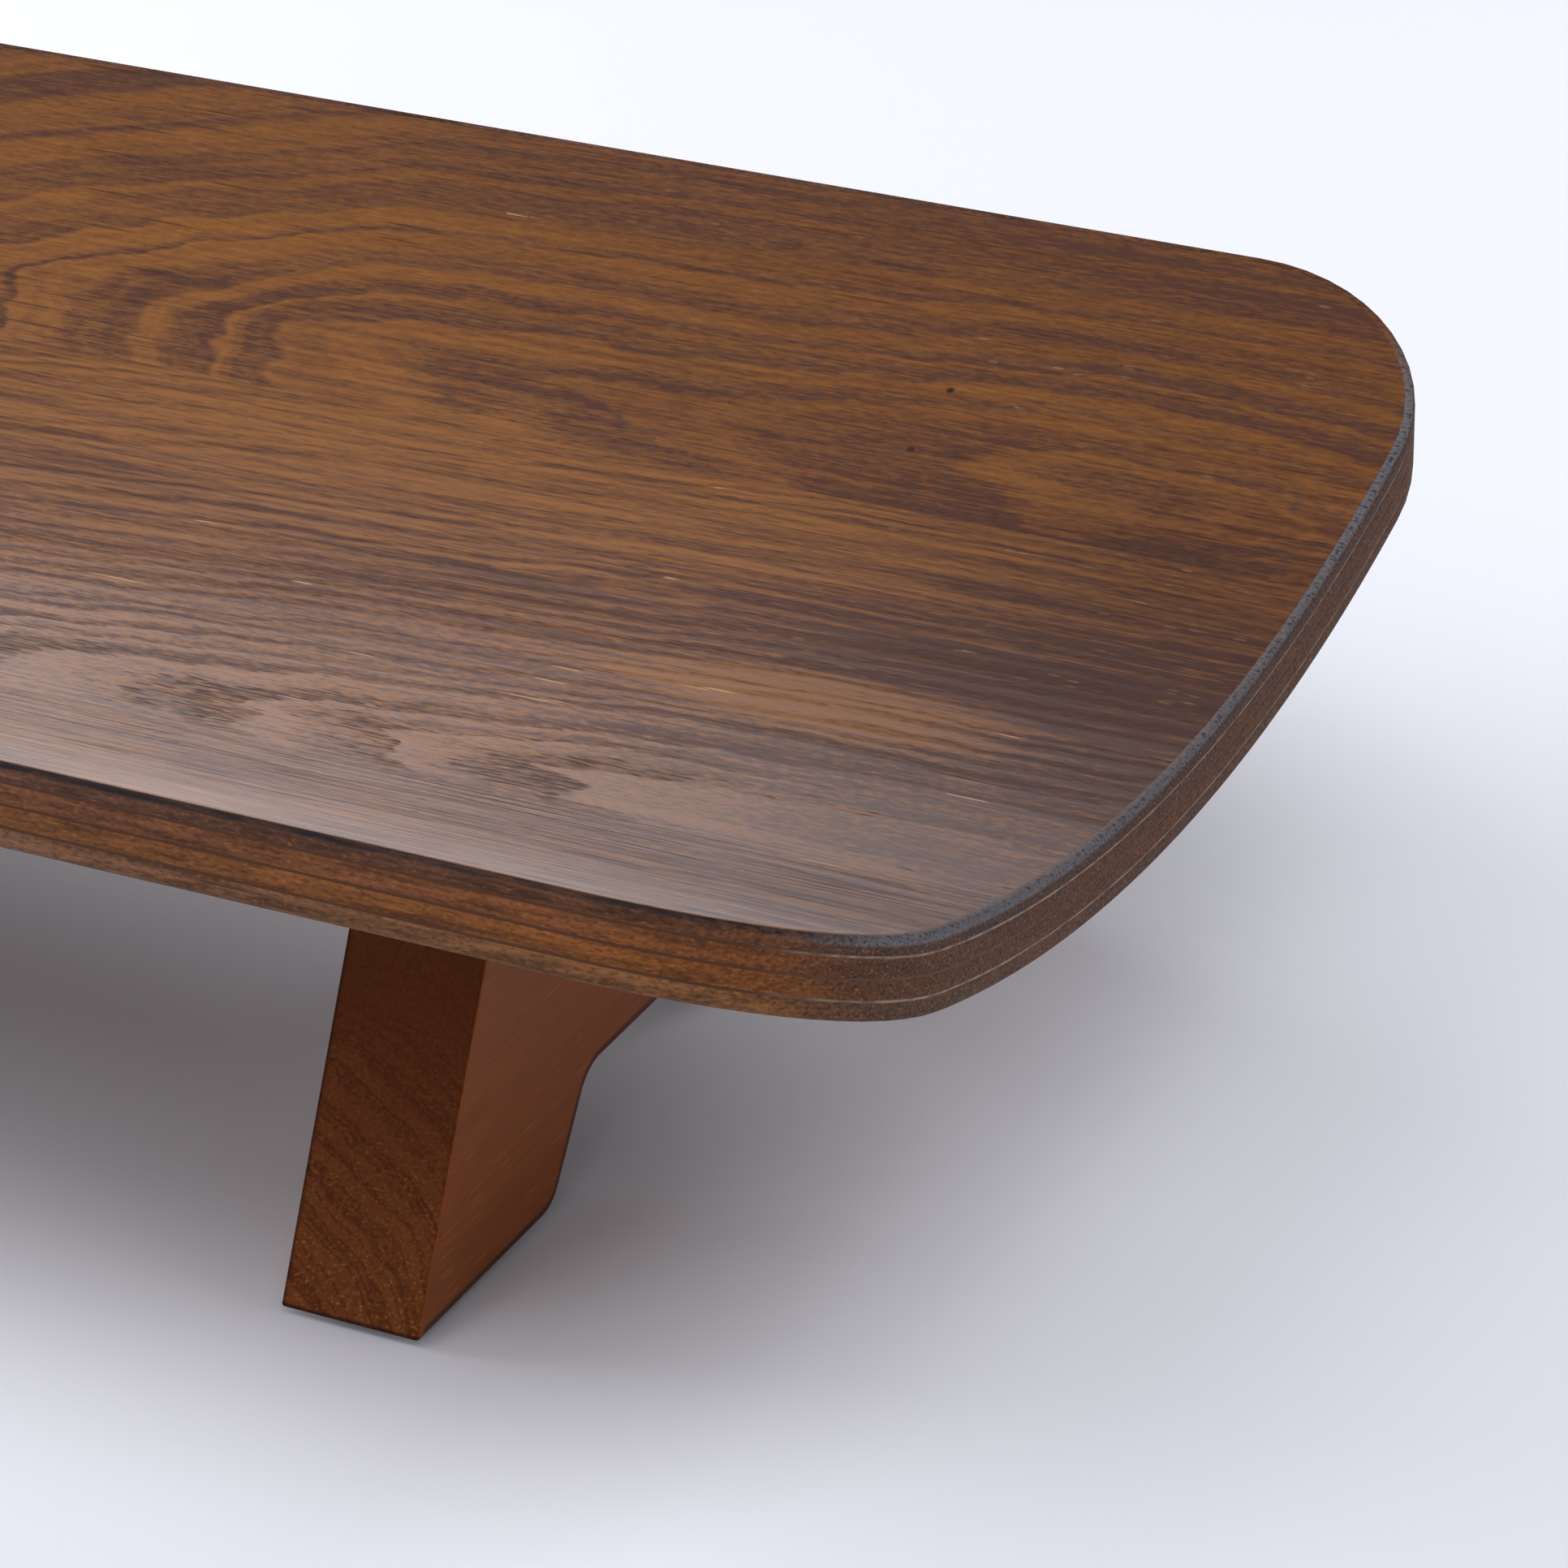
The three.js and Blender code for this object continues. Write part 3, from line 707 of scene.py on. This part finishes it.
def rubber_moulded(pads):
    """Moulded rubber: near black and matt, with a fine pebbled skin."""
    material, add, shader = new_material("rubber_moulded")
    place = add(COORDINATES).node.outputs["Object"]
    worn = add(NOISE, place, 1 / (4 * MM), 3.0)
    pebble = add(CELLS, place, 1 / (0.5 * MM))
    feed(shader, {
        "Base Color": add(PAINT, worn, pads.rubber, shade(pads.rubber, 2.2)),
        "Roughness": 0.8,
        "Normal": add(BUMP, Strength=0.4, Distance=0.06 * MM, Height=pebble),
    })
    return material


def card_matt(stage):
    """Matt card on the table: almost white with a faint tooth."""
    material, add, shader = new_material("card_matt")
    tooth = add(NOISE, add(COORDINATES).node.outputs["Object"], 1 / (0.8 * MM), 2.0)
    feed(shader, {
        "Base Color": stage.floor,
        "Roughness": 0.9,
        "Normal": add(BUMP, Strength=0.15, Distance=0.05 * MM, Height=tooth),
    })
    return material


def make_piece(name, points, faces, materials, marks=None, grain=None, grime=None):
    """A mesh object with outward faces, smooth shading, sharp creases and what its finish reads."""
    mesh = bpy.data.meshes.new(name)
    mesh.from_pydata(points, [], faces)
    for material in materials:
        mesh.materials.append(material)
    if marks:
        mesh.polygons.foreach_set("material_index", marks)
    if grain:
        field = mesh.attributes.new("grain", "FLOAT_VECTOR", "POINT")
        field.data.foreach_set("vector", [number for spot in grain for number in spot])
    if grime:
        mesh.attributes.new("grime", "FLOAT", "POINT").data.foreach_set("value", grime)
    shell = bmesh.new()
    shell.from_mesh(mesh)
    bmesh.ops.recalc_face_normals(shell, faces=shell.faces)
    shell.to_mesh(mesh)
    shell.free()
    mesh.shade_smooth()
    mesh.set_sharp_from_angle(angle=SHARP_ANGLE)
    piece = bpy.data.objects.new(name, mesh)
    bpy.context.scene.collection.objects.link(piece)
    return piece


def settle(piece, slot, *nodes):
    """Says what the piece rides on and hides the solids it stands for. The slot is not used."""
    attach(piece, BODY)
    if nodes:
        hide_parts(*nodes)


def carve(piece, cutter):
    """Cuts one mesh out of a piece and throws the cutter away."""
    tool = piece.modifiers.new("carve", "BOOLEAN")
    tool.object = cutter
    tool.operation = "DIFFERENCE"
    tool.solver = "EXACT"
    graph = bpy.context.evaluated_depsgraph_get()
    carved = bpy.data.meshes.new_from_object(piece.evaluated_get(graph))
    piece.modifiers.clear()
    whole = piece.data
    piece.data = carved
    bpy.data.meshes.remove(whole)
    bpy.data.meshes.remove(cutter.data)
    piece.data.shade_smooth()
    piece.data.set_sharp_from_angle(angle=SHARP_ANGLE)


def loft(rings):
    """Points and faces of a closed body through rings of points, with a cap on each end."""
    count = len(rings[0])
    points = [point for ring in rings for point in ring]
    faces = [tuple(range(count))]
    for level in range(len(rings) - 1):
        start = level * count
        for step in range(count):
            after = (step + 1) % count
            faces.append((start + step, start + after, start + count + after, start + count + step))
    last = (len(rings) - 1) * count
    faces.append(tuple(range(last + count - 1, last - 1, -1)))
    return points, faces


def rounded(corners):
    """Points round an outline of (place, radius) corners, each fillet with the same count of points."""
    outline = []
    for index, (at, radius) in enumerate(corners):
        if radius <= 0:
            outline.append(at)
            continue
        inward = (corners[index - 1][0] - at).normalized()
        outward = (corners[(index + 1) % len(corners)][0] - at).normalized()
        half = math.acos(max(-1, min(1, inward.dot(outward)))) / 2
        start = at + inward * radius / math.tan(half)
        centre = at + (inward + outward).normalized() * radius / math.sin(half)
        end = at + outward * radius / math.tan(half)
        first, final = start - centre, end - centre
        sweep = first.angle_signed(final)
        for step in range(FILLET_STEPS + 1):
            turn = Matrix.Rotation(-sweep * step / FILLET_STEPS, 2)
            outline.append(centre + turn @ first)
    return outline


def inset(corners, amount):
    """The same outline, listed anticlockwise, moved in by an amount."""
    moved = []
    for index, (at, radius) in enumerate(corners):
        before = (at - corners[index - 1][0]).normalized()
        after = (corners[(index + 1) % len(corners)][0] - at).normalized()
        normal_before = Vector((-before.y, before.x))
        normal_after = Vector((-after.y, after.x))
        shift = (normal_before + normal_after) * amount / (1 + normal_before.dot(normal_after))
        hollow = before.cross(after) < 0
        new_radius = radius + amount if hollow else max(radius - amount, SMALLEST_FILLET)
        moved.append((at + shift, new_radius if radius > 0 else 0))
    return moved


def quarter(radius):
    """A quarter round as pairs of distances from its two sides, from one side to the other."""
    turns = [math.pi / 2 * step / ARRIS_STEPS for step in range(ARRIS_STEPS + 1)]
    return [(radius * (1 - math.cos(turn)), radius * (1 - math.sin(turn))) for turn in turns]


def eased(half, arris, margin=SUPPORT):
    """Levels of (place, inset) across a slab with rounded arrises and a margin inside them."""
    side = [(half, arris + margin)]
    side += [(half - down, inward) for down, inward in quarter(arris)]
    return [(-place, amount) for place, amount in side] + side[::-1]


class BoardForm:
    """The board's curve and outline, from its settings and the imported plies."""

    def __init__(self, board):
        low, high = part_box(PLIES[0])
        self.board = board
        self.thickness = len(PLIES) * board.ply_thickness + (len(PLIES) - 1) * board.glue_line
        self.half_length = high.x
        self.axis_z = low.z + board.dish_radius + board.ply_thickness
        lower_half = board.dish_radius * math.asin(high.y / (board.dish_radius + board.ply_thickness))
        self.rim = lower_half + self.undercut(board.ply_thickness)

    def undercut(self, depth):
        """How far the long edges lean in at a depth below the top face."""
        return self.board.edge_undercut * depth / self.thickness

    def point(self, x, s, depth):
        """A point of the flat board, s across it and some depth below the top face, bent to the dish."""
        turn = s / self.board.dish_radius
        reach = self.board.dish_radius + depth
        return (x, reach * math.sin(turn), self.axis_z - reach * math.cos(turn))

    def rows(self, depth, inset_by):
        """Lines along the flat board from front to rear, each as s and its half length."""
        corner = self.board.corner_radius
        straight = self.rim - self.undercut(depth) - corner
        centre = self.half_length - corner
        reach = corner - inset_by
        rear = []
        for step in range(CORNER_STEPS + 1):
            turn = math.pi / 2 * step / CORNER_STEPS
            rear.append((straight + reach * math.sin(turn), centre + reach * math.cos(turn)))
        middle = []
        for step in range(1, MIDDLE_STEPS):
            middle.append((straight * (2 * step / MIDDLE_STEPS - 1), self.half_length - inset_by))
        return [(-s, half) for s, half in rear[::-1]] + middle + rear

    def rim_of(self, grid):
        """The outermost entries of a grid of rows, in order round it."""
        right = [row[-1] for row in grid[1:-1]]
        left = [row[0] for row in grid[1:-1]]
        return grid[0] + right + grid[-1][::-1] + left[::-1]

    def sheet(self, levels, shift=(0, 0)):
        """Points, faces, face marks and grain places of one bent sheet through (depth, inset) levels."""
        points, grain, faces, marks = [], [], [], []

        def put(x, s, depth):
            points.append(self.point(x, s, depth))
            grain.append(((x + shift[0]) / MM, (s + shift[1]) / MM, depth / MM))
            return len(points) - 1

        def places(depth, inset_by):
            spread = [2 * column / COLUMNS - 1 for column in range(COLUMNS + 1)]
            return [[(half * share, s, depth) for share in spread] for s, half in self.rows(depth, inset_by)]

        rings = []
        for level, (depth, inset_by) in enumerate(levels):
            grid = places(depth, inset_by)
            if 0 < level < len(levels) - 1:
                rings.append([put(*place) for place in self.rim_of(grid)])
                continue
            net = [[put(*place) for place in row] for row in grid]
            rings.append(self.rim_of(net))
            for row, above in zip(net, net[1:]):
                for column in range(COLUMNS):
                    faces.append((row[column], row[column + 1], above[column + 1], above[column]))
                    marks.append(0)
        for ring, below in zip(rings, rings[1:]):
            for step in range(len(ring)):
                after = (step + 1) % len(ring)
                faces.append((ring[step], ring[after], below[after], below[step]))
                marks.append(1)
        return points, faces, marks, grain

    def ply_levels(self, index):
        """Levels of one ply, counted from the top, with its arrises eased."""
        board = self.board
        upper = index * (board.ply_thickness + board.glue_line)
        lower = upper + board.ply_thickness
        top = board.top_arris if index == 0 else board.joint_arris
        bottom = board.lower_arris if index == len(PLIES) - 1 else board.joint_arris
        levels = [(upper, top + SUPPORT)]
        levels += [(upper + down, inward) for down, inward in quarter(top)]
        levels += [(lower - up, inward) for inward, up in quarter(bottom)]
        return levels + [(lower, bottom + SUPPORT)]


# Each ply's cut edge, its stain among the settings, and how far its grain is shifted, in metres
PLY_LOOKS = {
    "top_face_ply": ("ash_veneer_sawn_edge_top", "top_edge", (0, 0)),
    "upper_core_ply": ("poplar_veneer_sawn_edge_upper", "upper_core", (0.031, 0.017)),
    "lower_core_ply": ("poplar_veneer_sawn_edge_lower", "lower_core", (0.057, 0.043)),
    "bottom_face_ply": ("ash_veneer_sawn_edge_bottom", "bottom_edge", (-0.06, 0.0335)),
}
# How bare each glue line shows at the board's ends, from the top
GLUE_BARENESS = {"upper": 0.6, "middle": 0.12, "lower": 0.55}


class TRAY_OT_plies(Operator):
    """Builds the four bent plies of the board"""

    bl_idname = "tray.plies"
    bl_label = "Plies"

    def execute(self, context):
        board = context.scene.footed_tray.board
        form = BoardForm(board)
        face = ash_veneer_sliced_and_stained(board)
        for index, name in enumerate(PLIES):
            edge_name, stain, shift = PLY_LOOKS[name]
            edge = veneer_cut_edge(edge_name, getattr(board, stain), board)
            outer = "face" in name
            points, faces, marks, grain = form.sheet(form.ply_levels(index), shift)
            piece = make_piece(f"{name}_veneer", points, faces, (face if outer else edge, edge), marks, grain)
            settle(piece, "face_veneer" if outer else "core_veneer", name)
        return {"FINISHED"}


class TRAY_OT_glue_lines(Operator):
    """Fills the gaps between the plies with cured glue"""

    bl_idname = "tray.glue_lines"
    bl_label = "Glue Lines"

    def execute(self, context):
        board = context.scene.footed_tray.board
        form = BoardForm(board)
        for index, (layer, bareness) in enumerate(GLUE_BARENESS.items()):
            glue = glue_cured(f"wood_glue_cured_{layer}", bareness, board)
            upper = index * (board.ply_thickness + board.glue_line) + board.ply_thickness
            levels = [(upper, board.joint_arris), (upper + board.glue_line, board.joint_arris)]
            points, faces, _, grain = form.sheet(levels)
            piece = make_piece(f"glue_line_{index + 1}", points, faces, (glue,), grain=grain)
            settle(piece, "core_veneer")
        return {"FINISHED"}


def leg_corners(legs, board, low, high):
    """Corners of a leg's side, anticlockwise in Y and Z: feet and arch below, then the curved seat."""
    form = BoardForm(board)
    seat_radius = board.dish_radius + form.thickness + legs.seat_clearance
    splay, lean = math.tan(legs.splay), math.tan(legs.arch_lean)
    sole_z, toe = low.z, high.y
    heel = toe - legs.sole_length
    arch_y, arch_z = heel - legs.arch_height * lean, sole_z + legs.arch_height

    # The sloping end face meets the seat's circle at this rise above the sole
    drop = form.axis_z - sole_z
    a = 1 + splay ** 2
    b = drop + toe * splay
    c = drop ** 2 + toe ** 2 - seat_radius ** 2
    rise = (b - math.sqrt(b ** 2 - a * c)) / a
    seat_turn = math.asin((toe - splay * rise) / seat_radius)

    corners = [
        (Vector((-toe, sole_z)), legs.toe_fillet),
        (Vector((-heel, sole_z)), legs.heel_fillet),
        (Vector((-arch_y, arch_z)), legs.arch_fillet),
        (Vector((arch_y, arch_z)), legs.arch_fillet),
        (Vector((heel, sole_z)), legs.heel_fillet),
        (Vector((toe, sole_z)), legs.toe_fillet),
    ]
    for step in range(SEAT_STEPS + 1):
        turn = seat_turn * (1 - 2 * step / SEAT_STEPS)
        spot = Vector((seat_radius * math.sin(turn), form.axis_z - seat_radius * math.cos(turn)))
        corners.append((spot, 0))
    return corners


def circle(x, y, height, radii):
    """A ring of points round an upright axis, with a radius for each step."""
    ring = []
    for step, radius in enumerate(radii):
        turn = 2 * math.pi * step / ROUND_STEPS
        ring.append((x + radius * math.cos(turn), y + radius * math.sin(turn), height))
    return ring


def turned(profile, x, y):
    """Points and faces of (radius, height) points turned round an upright axis."""
    return loft([circle(x, y, height, [radius] * ROUND_STEPS) for radius, height in profile])


# Points of a leg's outline along the soles and the arch, which lie between the two toe fillets
FOOT_EDGE = range(FILLET_STEPS, 5 * (FILLET_STEPS + 1) + 1)


class TRAY_OT_legs(Operator):
    """Builds the two arched legs with their screw holes"""

    bl_idname = "tray.legs"
    bl_label = "Legs"

    def execute(self, context):
        tray = context.scene.footed_tray
        screws = tray.screws
        for side in SIDES:
            low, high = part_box(f"{side}_leg")
            middle, half = (low.x + high.x) / 2, (high.x - low.x) / 2
            corners = leg_corners(tray.legs, tray.board, low, high)
            rings, grime = [], []
            for place, amount in eased(half, tray.legs.arris, tray.legs.dark_edge):
                outline = rounded(inset(corners, amount))
                rings.append([(middle + place, spot.x, spot.y) for spot in outline])
                # Rim points along the soles and the arch get the dark margin: grime and painted shade
                on_rim = amount <= tray.legs.arris
                grime += [float(on_rim and index in FOOT_EDGE) for index in range(len(outline))]
            name = f"ash_plank_planed_and_stained_{side}"
            wood = ash_plank_planed_and_stained(name, tray.legs, middle, half)
            leg = make_piece(f"{side}_leg_plank", *loft(rings), (wood,), grime=grime)
            for end in ENDS:
                screw_low, screw_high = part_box(f"{side}_{end}_screw")
                shank = screws.diameter / 2 + screws.clearance
                head = screws.head_diameter / 2 + screws.clearance
                bore = [
                    (head, 0),
                    (head, screw_low.z + screws.head_land + screws.clearance),
                    (shank, screw_low.z + screws.head_height + screws.clearance),
                    (shank, screw_high.z),
                ]
                centre = (screw_low + screw_high) / 2
                carve(leg, make_piece("bore", *turned(bore, centre.x, centre.y), ()))
            settle(leg, "leg_wood", f"{side}_leg")
        return {"FINISHED"}


# A screw's small sizes
HEAD_CHAMFER = 0.1 * MM
RUN_OUT = 0.2 * MM  # from the plain shank to the first thread
TIP_SHARE = 0.05  # of the thread's radius that is left at the point
RIDGE_SLOPE = 1.7  # steepness of the thread's flanks
SLOT_OVERCUT = 0.2 * MM  # how far a cutter stands out of the face it cuts
SLOT_TAPER = 0.55  # share of a slot's size that is left at its bottom


def threaded(screws, length):
    """Rings of (height, radius at each step) up a wood screw that stands on its head."""
    crest, core = screws.diameter / 2, screws.core_diameter / 2
    head = screws.head_diameter / 2
    start = screws.head_height + screws.plain_shank
    plain = [
        (0, head - HEAD_CHAMFER), (HEAD_CHAMFER, head), (screws.head_land, head), (screws.head_height, crest),
        (start - RUN_OUT, crest),
    ]
    levels = [(height, [radius] * ROUND_STEPS) for height, radius in plain]
    rows = int((length - start) / screws.pitch * THREAD_STEPS)
    for row in range(rows + 1):
        height = start + (length - start) * row / rows
        taper = min(1, (length - height) / screws.point * (1 - TIP_SHARE) + TIP_SHARE)
        ring = []
        for step in range(ROUND_STEPS):
            turn = (height / screws.pitch - step / ROUND_STEPS) % 1
            ridge = max(0, 1 - abs(2 * turn - 1) * RIDGE_SLOPE)
            ring.append(taper * (core + (crest - core) * ridge))
        levels.append((height, ring))
    return levels


class TRAY_OT_screws(Operator):
    """Builds the four countersunk wood screws"""

    bl_idname = "tray.screws"
    bl_label = "Screws"

    def execute(self, context):
        screws = context.scene.footed_tray.screws
        zinc = steel_zinc_plated(screws)
        for foot in FEET:
            node = f"{foot}_screw"
            low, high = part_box(node)
            centre = (low + high) / 2
            levels = threaded(screws, high.z - low.z)
            rings = [circle(centre.x, centre.y, low.z + height, radii) for height, radii in levels]
            screw = make_piece(f"{node}_threaded", *loft(rings), (zinc,))
            for turn in (0, math.pi / 2):
                carve(screw, self.slot_tool(screws, Vector((centre.x, centre.y, low.z)), turn))
            settle(screw, "screw_steel", node)
        return {"FINISHED"}

    @staticmethod
    def slot_tool(screws, at, turn):
        """One tapering slot of the cross recess, as a cutter."""
        rings = []
        for height, share in ((-SLOT_OVERCUT, 1.0), (screws.recess_depth, SLOT_TAPER)):
            x, y = screws.recess_length / 2 * share, screws.recess_width / 2 * share
            rings.append([(-x, -y, height), (x, -y, height), (x, y, height), (-x, y, height)])
        points, faces = loft(rings)
        place = Matrix.Translation(at) @ Matrix.Rotation(turn, 4, "Z")
        return make_piece("slot", [place @ Vector(point) for point in points], faces, ())


class TRAY_OT_foot_pads(Operator):
    """Builds the four rubber pads under the feet"""

    bl_idname = "tray.foot_pads"
    bl_label = "Foot Pads"

    def execute(self, context):
        pads = context.scene.footed_tray.pads
        rubber = rubber_moulded(pads)
        for foot in FEET:
            node = f"{foot}_foot_pad"
            low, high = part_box(node)
            spots = ((low.x, low.y), (high.x, low.y), (high.x, high.y), (low.x, high.y))
            corners = [(Vector(spot), pads.corner) for spot in spots]
            middle = (low.z + high.z) / 2
            rings = []
            for place, amount in eased((high.z - low.z) / 2, pads.edge):
                rings.append([(spot.x, spot.y, middle + place) for spot in rounded(inset(corners, amount))])
            pad = make_piece(f"{node}_rubber", *loft(rings), (rubber,))
            settle(pad, "pad_rubber", node)
        return {"FINISHED"}


# Soft boxes as (name, place, aim, width, height, watts, what they light), in metres
EVERYTHING, NO_GLOSS, GLOSS_ONLY = range(3)
SOFT_BOXES = (
    ("key_light", (-0.43, -0.53, 1.1), (0.1, 0.0, 0.03), 1.2, 1.2, 8.2, EVERYTHING),
    ("front_right_light", (0.6, -0.34, 1.1), (0.1, 0.0, 0.03), 0.8, 0.8, 7.2, EVERYTHING),
    ("low_left_light", (-1.25, 0.05, 0.35), (0.1, 0.0, 0.03), 0.9, 0.6, 35.0, NO_GLOSS),
    ("low_front_light", (0.1, -1.25, 0.35), (0.1, 0.0, 0.03), 0.9, 0.6, 5.2, NO_GLOSS),
    ("low_right_light", (1.25, 0.05, 0.35), (0.1, 0.0, 0.03), 0.9, 0.6, 3.6, NO_GLOSS),
    ("backdrop_light", (0.7, 0.9, 0.7), (0.7, 0.9, 0.0), 0.4, 0.4, 8.0, NO_GLOSS),
    ("low_sheen_card", (-0.75, 1.81, 0.11), (0.1, 0.0, 0.11), 0.7, 0.18, 5.3, GLOSS_ONLY),
    ("middle_sheen_card", (-0.75, 1.81, 0.325), (0.1, 0.0, 0.325), 0.7, 0.25, 1.9, GLOSS_ONLY),
    ("high_sheen_card", (-0.75, 1.81, 0.675), (0.1, 0.0, 0.675), 0.7, 0.45, 1.5, GLOSS_ONLY),
    ("left_sheen_card", (-1.31, 1.41, 0.325), (0.1, 0.0, 0.325), 0.7, 0.25, 5.0, GLOSS_ONLY),
    ("top_sheen_card", (-1.13, 1.58, 1.25), (0.1, 0.0, 1.25), 1.4, 0.7, 1.9, GLOSS_ONLY),
)
FLOOR_REACH = 4.0
FILL_STRENGTH = 0.03
SENSOR_WIDTH = 36
CLIP_START = 0.01


class TRAY_OT_stage(Operator):
    """Sets the floor, the soft light and the camera"""

    bl_idname = "tray.stage"
    bl_label = "Stage"

    def execute(self, context):
        scene = context.scene
        stage = scene.footed_tray.stage
        corners = [(FLOOR_REACH * x, FLOOR_REACH * y, 0) for x, y in ((-1, -1), (1, -1), (1, 1), (-1, 1))]
        floor = make_piece("floor", corners, [(0, 1, 2, 3)], (card_matt(stage),))

        world = bpy.data.worlds.new("soft_fill")
        world.use_nodes = True
        feed(world.node_tree.nodes["Background"], {"Color": stage.sky, "Strength": FILL_STRENGTH})
        scene.world = world

        for name, place, aim, width, height, watts, reach in SOFT_BOXES:
            lamp = bpy.data.lights.new(name, "AREA")
            lamp.shape = "RECTANGLE"
            lamp.size, lamp.size_y = width, height
            lamp.energy = watts
            if reach == GLOSS_ONLY:
                lamp.color = stage.sheen[:3]
            light = bpy.data.objects.new(name, lamp)
            light.location = place
            light.rotation_euler = (Vector(aim) - Vector(place)).to_track_quat("-Z", "Y").to_euler()
            light.visible_camera = False
            light.visible_glossy = reach != NO_GLOSS
            light.visible_diffuse = reach != GLOSS_ONLY
            scene.collection.objects.link(light)

        lens = bpy.data.cameras.new("camera")
        lens.sensor_width = SENSOR_WIDTH
        lens.lens = stage.focal_length
        lens.clip_start = CLIP_START
        camera = bpy.data.objects.new("camera", lens)
        back = Vector((
            math.sin(stage.azimuth) * math.cos(stage.elevation),
            -math.cos(stage.azimuth) * math.cos(stage.elevation),
            math.sin(stage.elevation),
        ))
        camera.location = Vector(stage.target) + back * stage.distance
        camera.rotation_euler = (-back).to_track_quat("-Z", "Y").to_euler()
        scene.collection.objects.link(camera)
        scene.camera = camera
        scene.view_settings.view_transform = "Standard"
        return {"FINISHED"}


class TRAY_PT_sidebar(Panel):
    """Lists the tray's pieces"""

    bl_idname = "TRAY_PT_sidebar"
    bl_label = "Footed Tray"
    bl_space_type = "VIEW_3D"
    bl_region_type = "UI"
    bl_category = "Tray"

    def draw(self, context):
        for operator in OPERATORS:
            self.layout.operator(operator.bl_idname)


OPERATORS = (
    TRAY_OT_stage, TRAY_OT_plies, TRAY_OT_glue_lines, TRAY_OT_legs, TRAY_OT_screws, TRAY_OT_foot_pads,
)
GROUPS = (BoardSettings, LegSettings, ScrewSettings, PadSettings, StageSettings, TraySettings)
CLASSES = (*GROUPS, *OPERATORS, TRAY_PT_sidebar)


def register():
    for made in CLASSES:
        bpy.utils.register_class(made)
    bpy.types.Scene.footed_tray = PointerProperty(type=TraySettings)


def unregister():
    del bpy.types.Scene.footed_tray
    for made in reversed(CLASSES):
        bpy.utils.unregister_class(made)


def main():
    register()
    bpy.ops.tray.stage()
    bpy.ops.tray.plies()
    bpy.ops.tray.glue_lines()
    bpy.ops.tray.legs()
    bpy.ops.tray.screws()
    bpy.ops.tray.foot_pads()


if __name__ == "__main__":
    main()
